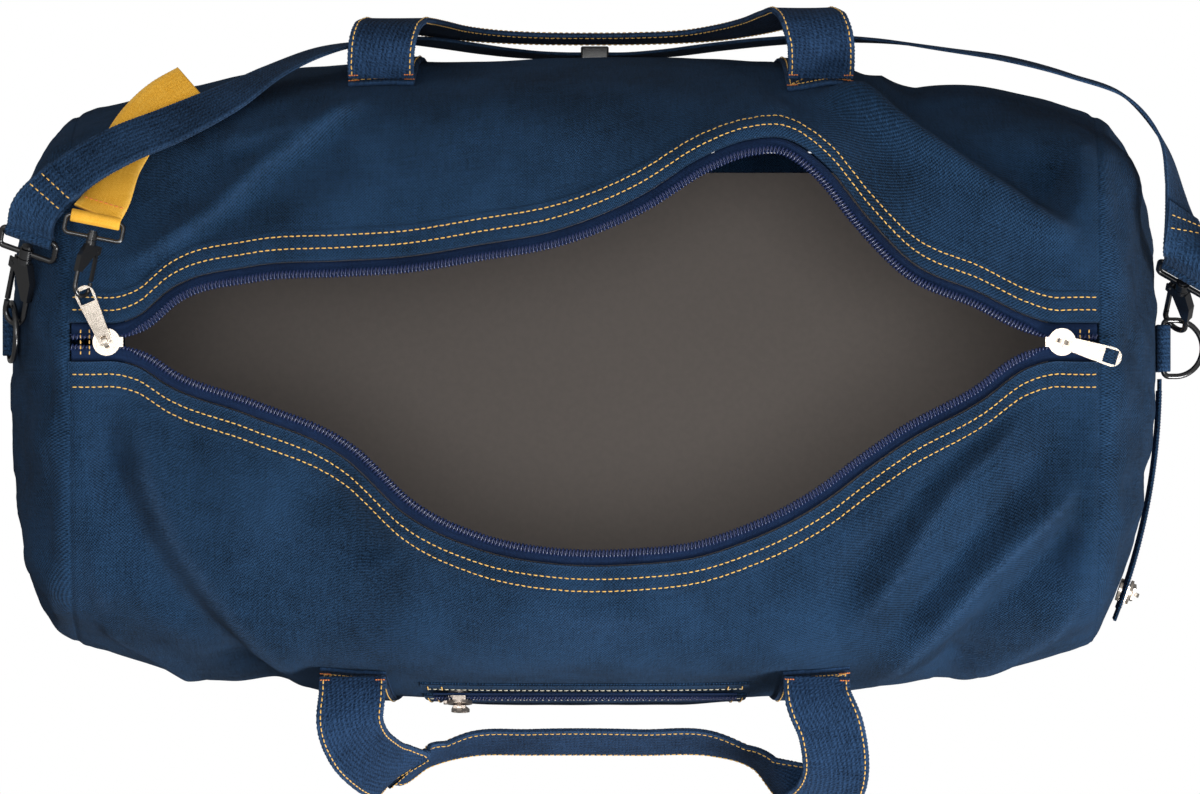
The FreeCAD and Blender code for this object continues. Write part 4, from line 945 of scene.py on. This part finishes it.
FRONT_LOOP = [
    ((-122, 0, 0), (1, 0, 0)), ((-122, -8, 4), (1, 0, 0)), ((-123, -23, 6), (0.99, 0.1, -0.1)),
    ((-119, -37, -3), (0.93, 0.2, -0.3)), ((-112, -47, -16), (0.8, 0.26, -0.55)),
    ((-104, -54, -34), (0.62, 0.24, -0.75)), ((-95, -54, -53), (0.45, 0.05, -0.9)),
    ((-82, -49, -67), (0.25, -0.2, -0.95)), ((-64, -44, -73), (0.08, -0.42, -0.9)),
    ((-30, -43, -74), (0, -0.47, -0.88)), ((30, -43, -73), (0, -0.47, -0.88)),
    ((72, -44, -71), (-0.08, -0.42, -0.9)), ((92, -51, -67), (-0.25, -0.2, -0.95)),
    ((105, -61, -56), (-0.45, 0, -0.9)), ((117, -69, -40), (-0.7, 0.1, -0.7)),
    ((127, -67, -20), (-0.9, 0.1, -0.35)), ((132, -52, -4), (-0.99, 0.05, -0.1)),
    ((129, -27, 5), (-1, 0, 0)), ((122, -8, 4), (-1, 0, 0)), ((122, 0, 0), (-1, 0, 0)),
]
BACK_LOOP = [
    ((-107, 0, 0), (1, 0, 0)), ((-107, 8, 4), (1, 0, 0)), ((-106, 18, 6), (1, 0, 0)), ((-104, 26, 1), (1, 0, 0)),
    ((-101, 31, -10), (1, 0, 0)), ((-97, 33, -28), (1, 0, 0.15)), ((-90, 34, -50), (0.97, 0, 0.25)),
    ((-78, 34, -75), (0.85, 0, 0.5)), ((-57, 34, -97), (0.6, 0, 0.8)), ((-30, 34, -109), (0.25, 0, 0.97)),
    ((0, 34, -112), (0, 0, 1)), ((34, 34, -109), (-0.25, 0, 0.97)), ((63, 34, -97), (-0.6, 0, 0.8)),
    ((86, 35, -75), (-0.85, 0, 0.5)), ((101, 36, -50), (-0.97, 0, 0.25)), ((110, 37, -26), (-1, 0, 0.15)),
    ((116, 36, -6), (-1, 0, 0)), ((120, 29, 7), (-1, 0, 0)), ((123, 19, 10), (-1, 0, 0)), ((124, 9, 5), (-1, 0, 0)),
    ((124, 0, 0), (-1, 0, 0)),
]

for word, loop, foot in (("front", FRONT_LOOP, FRONT_FOOT), ("back", BACK_LOOP, BACK_FOOT)):
    body = word + "_handle"
    ribbon = Ribbon([(tuple(np.array(c) + foot), w) for c, w in loop])
    ribbon.mesh(word + "_grip", HANDLE_WIDTH, HANDLE_THICK, GRIP_LOOK, body, "webbing_handle", replaces=(body,))
    edges = Stitches()
    for u in (-15.3, 15.3):
        for v in (HANDLE_THICK / 2, -HANDLE_THICK / 2):
            ribbon.edge_row(edges, u, v, start=1.0, end=ribbon.run[-1] - 1.0)
    edges.finish(word + "_grip_stitching", GOLD, body=body)
    tacks = Stitches()
    for at in (2.2, ribbon.run[-1] - 2.2):
        for u in (-14.5, 14.5):
            for v in (HANDLE_THICK / 2, -HANDLE_THICK / 2):
                ribbon.cross_row(tacks, at, u - 2.6, u + 2.6, v, pitch=1.2, length=1.1)
    tacks.finish(word + "_grip_tacks", ORANGE, body=body)

LEFT_BAR = np.array([-283.534, 72.525, 256.827])
RIGHT_BAR = np.array([312.81, 53.935, 228.046])
KEY_BAR = np.array([-247.609, 80.028, 269.843])
LEFT_FLAT = np.array([0.939, -0.328, 0.099])
RIGHT_FLAT = np.array([-0.792, 0.497, -0.354])
KEY_FLAT = np.array([0.973, -0.189, -0.134])
STRAP = [
    ((-282.758, 75.128, 258.1), (0.939, -0.328, 0.099)), ((-280.43, 82.94, 263.42), (0.939, -0.478, 0.099)),
    ((-268, 97, 264), (0.82, -0.5, 0.25)), ((-256, 107, 262), (0.62, -0.68, 0.38)),
    ((-238, 118, 257.5), (0.5, -0.74, 0.45)), ((-213, 130, 246.5), (0.45, -0.72, 0.53)),
    ((-188, 144, 233), (0.35, -0.6, 0.7)), ((-164, 161, 215), (0.25, -0.35, 0.9)),
    ((-140, 174, 196), (0.3, -0.2, 0.93)), ((-116, 182, 172), (0.5, -0.05, 0.86)),
    ((-94, 186, 143), (0.6, 0, 0.8)), ((-73, 187, 112), (0.65, 0, 0.76)), ((-51, 187, 84), (0.5, 0, 0.87)),
    ((-30, 187, 66), (0.25, 0, 0.97)), ((-12, 187, 60), (0, 0, 1)), ((5, 187, 60), (0, 0, 1)),
    ((22, 187, 60), (0, 0, 1)), ((45, 188, 65), (-0.25, 0, 0.97)), ((75, 190, 80), (-0.35, 0, 0.94)),
    ((105, 191, 98), (-0.4, 0, 0.92)), ((135, 190, 118), (-0.4, 0, 0.92)), ((165, 186, 140), (-0.4, -0.05, 0.92)),
    ((195, 179, 162), (-0.35, -0.1, 0.93)), ((228, 171, 182), (-0.25, -0.15, 0.95)),
    ((258, 161, 195), (-0.15, -0.15, 0.97)), ((286, 149, 203), (-0.1, -0.15, 0.98)),
    ((305, 124, 209), (-0.3, 0.1, 0.95)), ((310, 98, 218), (-0.55, 0.3, 0.75)),
    ((312.31, 59.18, 236.54), (-0.792, 0.497, -0.354)), ((312.66, 55.51, 230.6), (-0.792, 0.497, -0.354)),
]
TAG = [
    ((-247.15, 82.58, 269.61), (0.973, -0.189, -0.134)), ((-244.18, 88.87, 264.13), (0.973, -0.189, 0.066)),
    ((-240, 109, 251), (1, -0.15, -0.05)), ((-236, 119, 245), (0.97, -0.25, -0.1)),
    ((-229, 134, 236), (0.8, -0.45, 0.25)), ((-218, 146, 226), (0.62, -0.68, 0.3)),
    ((-206, 154, 219), (0.55, -0.75, 0.32)),
]


def eye(name, bar, flat, wire, material):
    """Webbing turned round a bar."""
    flat = unit_rows(flat)
    first = unit_rows(np.cross(flat, [0.0, 0.0, 1.0]))
    second = np.cross(flat, first)
    low = wire + 0.4
    high = low + STRAP_THICK
    cross = [(low, -1), (low, 1), (low + 0.3, 1.0), (high - 0.3, 1.0), (high, 0.96), (high, 0.5), (high, 0),
             (high, -0.5), (high, -0.96), (high - 0.3, -1.0), (low + 0.3, -1.0)]
    rows, uvs = [], []
    turns = np.linspace(0, 2 * math.pi, 49)[:-1]
    for radius, u in cross:
        ring = [bar + flat * (u * STRAP_WIDTH / 2) + first * (radius * math.cos(a)) + second * (radius * math.sin(a))
                for a in turns]
        rows.append(ring)
        uvs.append([(u * STRAP_WIDTH / 2, a * high) for a in turns])
    grid = np.array(rows)
    n, m = grid.shape[:2]
    faces = grid_faces(n, m, wrap_n=True, wrap_m=True)
    return build(name, grid.reshape(-1, 3), faces, material, uv=np.array(uvs).reshape(-1, 2))


strap = Ribbon(STRAP)
strap.mesh("strap_webbing", STRAP_WIDTH, STRAP_THICK, WEB_LOOK, "bag", "webbing_navy", replaces=("shoulder_strap",))
eye("strap_eye_left", LEFT_BAR, LEFT_FLAT, 1.5, WEB_LOOK)
eye("strap_eye_right", RIGHT_BAR, RIGHT_FLAT, 1.5, WEB_LOOK)
strap_gold = Stitches()
total = strap.run[-1]
for start, end, rows in ((0.0, 34.0, (20.0, 27.5)), (total - 40.0, total, (total - 25.0, total - 32.0))):
    fold = strap.cut(start, end)
    up = 1.0 if fold.face[len(fold.run) // 2][2] > 0 else -1.0
    fold.mesh("strap_fold_" + ("left" if start == 0 else "right"), STRAP_WIDTH - 0.4, 1.5, WEB_LOOK, "bag",
              "webbing_navy", lift=up * 1.75)
    for at in rows:
        fold.cross_row(strap_gold, at, -11, 11, up * 2.5, slope=1.5)
strap_gold.finish("strap_stitching", GOLD)

tag = Ribbon(TAG)
tag.mesh("tag_webbing", STRAP_WIDTH, 1.7, TAG_LOOK, "bag", "webbing_yellow", replaces=("key_tag",), picot=0.1)
eye("tag_eye", KEY_BAR, KEY_FLAT, 1.125, TAG_LOOK)
tag_gold = Stitches()
up = 1.0 if tag.face[12][2] > 0 else -1.0
tag.cross_row(tag_gold, 8.0, -11, 11, up * 0.85, pitch=2.6, length=2.0)
tag_gold.finish("tag_stitching", ORANGE)


# ---------------------------------------------------------------- ring tabs

def ring_tab(word, bar, along, out, node):
    flat = np.array([0.0, 1.0, 0.0])
    eye(word + "_tab_eye", bar, flat, 1.5, WEB_LOOK)
    stitches = Stitches()
    for k, level in enumerate((-1.0, -2.8)):
        stations = []
        for d in (0.0, 3.0, 10.0, 20.0, 34.0):
            open_up = (0.35 if k == 0 else 0.0) * math.exp(-((d - 2) / 4.0) ** 2)
            stations.append((tuple(bar - along * d + out * (level + open_up)), tuple(flat)))
        ply = Ribbon(stations)
        ply.mesh(word + "_tab_ply_" + str(k + 1), STRAP_WIDTH, 1.7, WEB_LOOK, "bag", "webbing_navy",
                 replaces=(node,) if k == 0 else ())
        if k == 0:
            v = 0.85 if ply.face[5] @ out > 0 else -0.85
            for u in (-10.2, 10.2):
                ply.edge_row(stitches, u, v, start=8.0, end=32.0, pitch=2.9)
            for at in (8.0, 32.0):
                ply.cross_row(stitches, at, -10.2, 10.2, v, pitch=2.9)
            ply.cross_row(stitches, 8.0, -10.2, 10.2, v, slope=24.0, pitch=2.9)
            ply.cross_row(stitches, 32.0, -10.2, 10.2, v, slope=-24.0, pitch=2.9)
    stitches.finish(word + "_tab_stitching", GOLD)


TAB_TILT = math.radians(14.0)
ring_tab("left", np.array([-300.679, 24.0, 222.196]), np.array([math.sin(TAB_TILT), 0, math.cos(TAB_TILT)]),
         np.array([-math.cos(TAB_TILT), 0, math.sin(TAB_TILT)]), "left_ring_tab")
ring_tab("right", np.array([308.557, 16.0, 191.817]), SEAM_UP, SEAM_NORMAL, "right_ring_tab")


# ---------------------------------------------------------------- pocket zips

ZIP_AT = np.array([0.0, -172.828, 170.0])
ZIP_OUT = np.array([0.0, -0.972, 0.234])
ZIP_UP = np.array([0.0, 0.234, 0.972])
for way, word in ((-1, "lower"), (1, "upper")):
    a = np.array([[-82.0, 0, 0], [82.0, 0, 0]]) + ZIP_AT + ZIP_UP * (way * 1.35) + ZIP_OUT * -1.25
    b = a + ZIP_UP * (way * 5.9)
    grid = []
    xs = np.linspace(-82, 82, 140)
    for edge, level in ((1.35, 0), (1.35, 0.7), (4.0, 0.78), (7.2, 0.7), (7.2, 0)):
        grid.append([np.array([x, 0, 0]) + ZIP_AT + ZIP_UP * (way * edge) + ZIP_OUT * (-2.0 + level) for x in xs])
    grid = np.array(grid)
    n, m = grid.shape[:2]
    uv = np.stack([np.repeat([0, 0.7, 3.4, 6.6, 7.3], m), np.tile(xs, n)], 1)
    build("front_pocket_tape_" + word, grid.reshape(-1, 3), grid_faces(n, m, wrap_n=True, flip=way > 0), TAPE_LOOK,
          uv=uv, replaces=("front_pocket_zip_tape",) if way < 0 else ())
    line = np.stack([xs, 0 * xs, 0 * xs], 1) + ZIP_AT + ZIP_UP * (way * 2.4) + ZIP_OUT * 0.1
    coil("front_pocket_coil_" + word, line, np.tile(ZIP_OUT, (len(xs), 1)), 0.75, 0.7, 1.7, 0.36,
         math.pi * (way > 0), node=("front_pocket_zip_coil",) if way < 0 else ())

ARC_CENTRE = np.array([-51.508, 0.0, 73.261])
ARC_SKIN = 374.45


def arc_points(radius, across, front=-20.0, back=-1.0, count=120):
    """Line round the end panel's arc at a radius beyond the zip's canvas level."""
    angles = np.radians(np.linspace(front, back, count))
    y_way = np.array([0.0, 1.0, 0.0])
    out = np.outer(np.cos(angles), SEAM_NORMAL) + np.outer(np.sin(angles), y_way)
    return ARC_CENTRE + out * (ARC_SKIN + radius) + SEAM_UP * across, out


for way, word in ((-1, "lower"), (1, "upper")):
    rows = []
    for edge, level in ((1.35, -2.0), (1.35, -1.3), (4.0, -1.22), (7.2, -1.3), (7.2, -2.0)):
        rows.append(arc_points(level, way * edge)[0])
    grid = np.array(rows)
    n, m = grid.shape[:2]
    uv = np.stack([np.repeat([0, 0.7, 3.4, 6.6, 7.3], m), np.tile(np.arange(m), n)], 1)
    build("end_pocket_tape_" + word, grid.reshape(-1, 3), grid_faces(n, m, wrap_n=True, flip=way < 0), TAPE_LOOK,
          uv=uv, replaces=("end_pocket_zip_tape",) if way < 0 else ())
    rows = []
    for edge, level in ((3.5, -1.15), (3.4, 0.2), (4.2, 0.7), (6.6, 0.6), (9.6, -0.2), (9.6, -1.15)):
        rows.append(arc_points(level, way * edge, front=-21.0, back=0.0)[0])
    grid = np.array(rows)
    n, m = grid.shape[:2]
    uv = np.stack([np.repeat([0, 1.4, 2.4, 4.8, 7.9, 8.8], m), np.tile(np.arange(m), n)], 1)
    build("end_pocket_welt_" + word, grid.reshape(-1, 3), grid_faces(n, m, wrap_n=True, flip=way < 0), CANVAS_LOOK,
          uv=uv, wear_and_highlight=np.repeat([0.0, 0.4, 0.6, 0.1, 0.0, 0.0], m))
    line, out = arc_points(0.1, way * 2.4)
    coil("end_pocket_coil_" + word, line, out, 0.75, 0.7, 1.7, 0.36, math.pi * (way > 0),
         node=("end_pocket_zip_coil",) if way < 0 else ())

rows = []
pouch_out = -3.85 - 1.6 - 2.0 - 2.0
for radius in (pouch_out - 1.9, pouch_out - 0.1):
    for across in np.linspace(-70, 4, 24):
        line = arc_points(radius, across, front=-17.0)[0]
        rows.append(line)
grid = np.array(rows)
grid[:24] += rumple(grid[:24], 18.0, 0.5, 3.0)[..., None] * SEAM_NORMAL
n, m = grid.shape[:2]
faces = grid_faces(24, m, flip=False) + grid_faces(24, m, start=24 * m, flip=True)
rim = [(i, 0) for i in range(24)] + [(23, j) for j in range(1, m)]
rim += [(i, m - 1) for i in range(22, -1, -1)] + [(0, j) for j in range(m - 2, 0, -1)]
ids = [i * m + j for i, j in rim]
for a, b in zip(ids, ids[1:] + ids[:1]):
    faces.append((a, b, b + 24 * m, a + 24 * m))
uv = np.stack([np.tile(np.repeat(np.linspace(-70, 4, 24), m), 2), np.tile(np.arange(m), 48)], 1)
build("end_pocket_lining", grid.reshape(-1, 3), faces, CANVAS_LOOK, uv=uv,
      replaces=("end_pocket_pouch",))


# ---------------------------------------------------------------- metal parts and board keep their solids

def dress(node, material):
    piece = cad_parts[node]
    for k in range(len(piece.material_slots)):
        piece.material_slots[k].material = material


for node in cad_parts:
    if node in ("base_board",):
        dress(node, BOARD_LOOK)
    elif node in ("left_slider", "left_pull", "right_slider", "right_pull", "end_pocket_slider", "end_pocket_pull"):
        dress(node, NICKEL)
    elif node in ("front_pocket_slider", "front_pocket_pull"):
        dress(node, GUNMETAL)
    elif "ring" in node or "hook" in node or node == "strap_adjuster":
        dress(node, BLACK)


# ---------------------------------------------------------------- light and camera

AMBIENT_LOW = 0.16
AMBIENT_HIGH = 0.42
KEY_WATTS = 46.0
FILL_WATTS = 5.0
TOP_WATTS = 9.0

world = bpy.data.worlds.new("studio")
bpy.context.scene.world = world
world.use_nodes = True
nodes = world.node_tree.nodes
links = world.node_tree.links
nodes.clear()
path = nodes.new("ShaderNodeLightPath")
coords = nodes.new("ShaderNodeTexCoord")
split = nodes.new("ShaderNodeSeparateXYZ")
rise = nodes.new("ShaderNodeMapRange")
rise.inputs["From Min"].default_value = -0.4
rise.inputs["From Max"].default_value = 0.9
rise.inputs["To Min"].default_value = AMBIENT_LOW
rise.inputs["To Max"].default_value = AMBIENT_HIGH
ambient = nodes.new("ShaderNodeBackground")
ambient.inputs["Color"].default_value = (1.0, 0.99, 0.97, 1.0)
white = nodes.new("ShaderNodeBackground")
white.inputs["Color"].default_value = (1.0, 1.0, 1.0, 1.0)
white.inputs["Strength"].default_value = 1.0
mixer = nodes.new("ShaderNodeMixShader")
result = nodes.new("ShaderNodeOutputWorld")
links.new(coords.outputs["Generated"], split.inputs[0])
links.new(split.outputs[2], rise.inputs["Value"])
links.new(rise.outputs["Result"], ambient.inputs["Strength"])
links.new(path.outputs["Is Camera Ray"], mixer.inputs[0])
links.new(ambient.outputs[0], mixer.inputs[1])
links.new(white.outputs[0], mixer.inputs[2])
links.new(mixer.outputs[0], result.inputs[0])


def area(name, where, target, size, power):
    data = bpy.data.lights.new(name, "AREA")
    data.size = size
    data.energy = power
    lamp = bpy.data.objects.new(name, data)
    bpy.context.scene.collection.objects.link(lamp)
    lamp.location = where
    lamp.rotation_euler = (Vector(target) - Vector(where)).to_track_quat("-Z", "Y").to_euler()


area("key", (1.15, -1.25, 1.25), (0.0, 0.0, 0.15), 0.7, KEY_WATTS)
area("fill", (-0.9, 0.4, 1.6), (0.0, 0.0, 0.15), 1.4, FILL_WATTS)
area("top", (0.05, -0.05, 1.8), (0.0, 0.0, 0.0), 0.6, TOP_WATTS)

camera_data = bpy.data.cameras.new("camera")
camera_data.lens = 88.5
camera_data.sensor_width = 36.0
camera = bpy.data.objects.new("camera", camera_data)
bpy.context.scene.collection.objects.link(camera)
camera.location = (0.008, -0.010, 1.765)
camera.rotation_euler = (0.0, 0.0, 0.0)
bpy.context.scene.camera = camera
bpy.context.scene.view_settings.view_transform = "Standard"
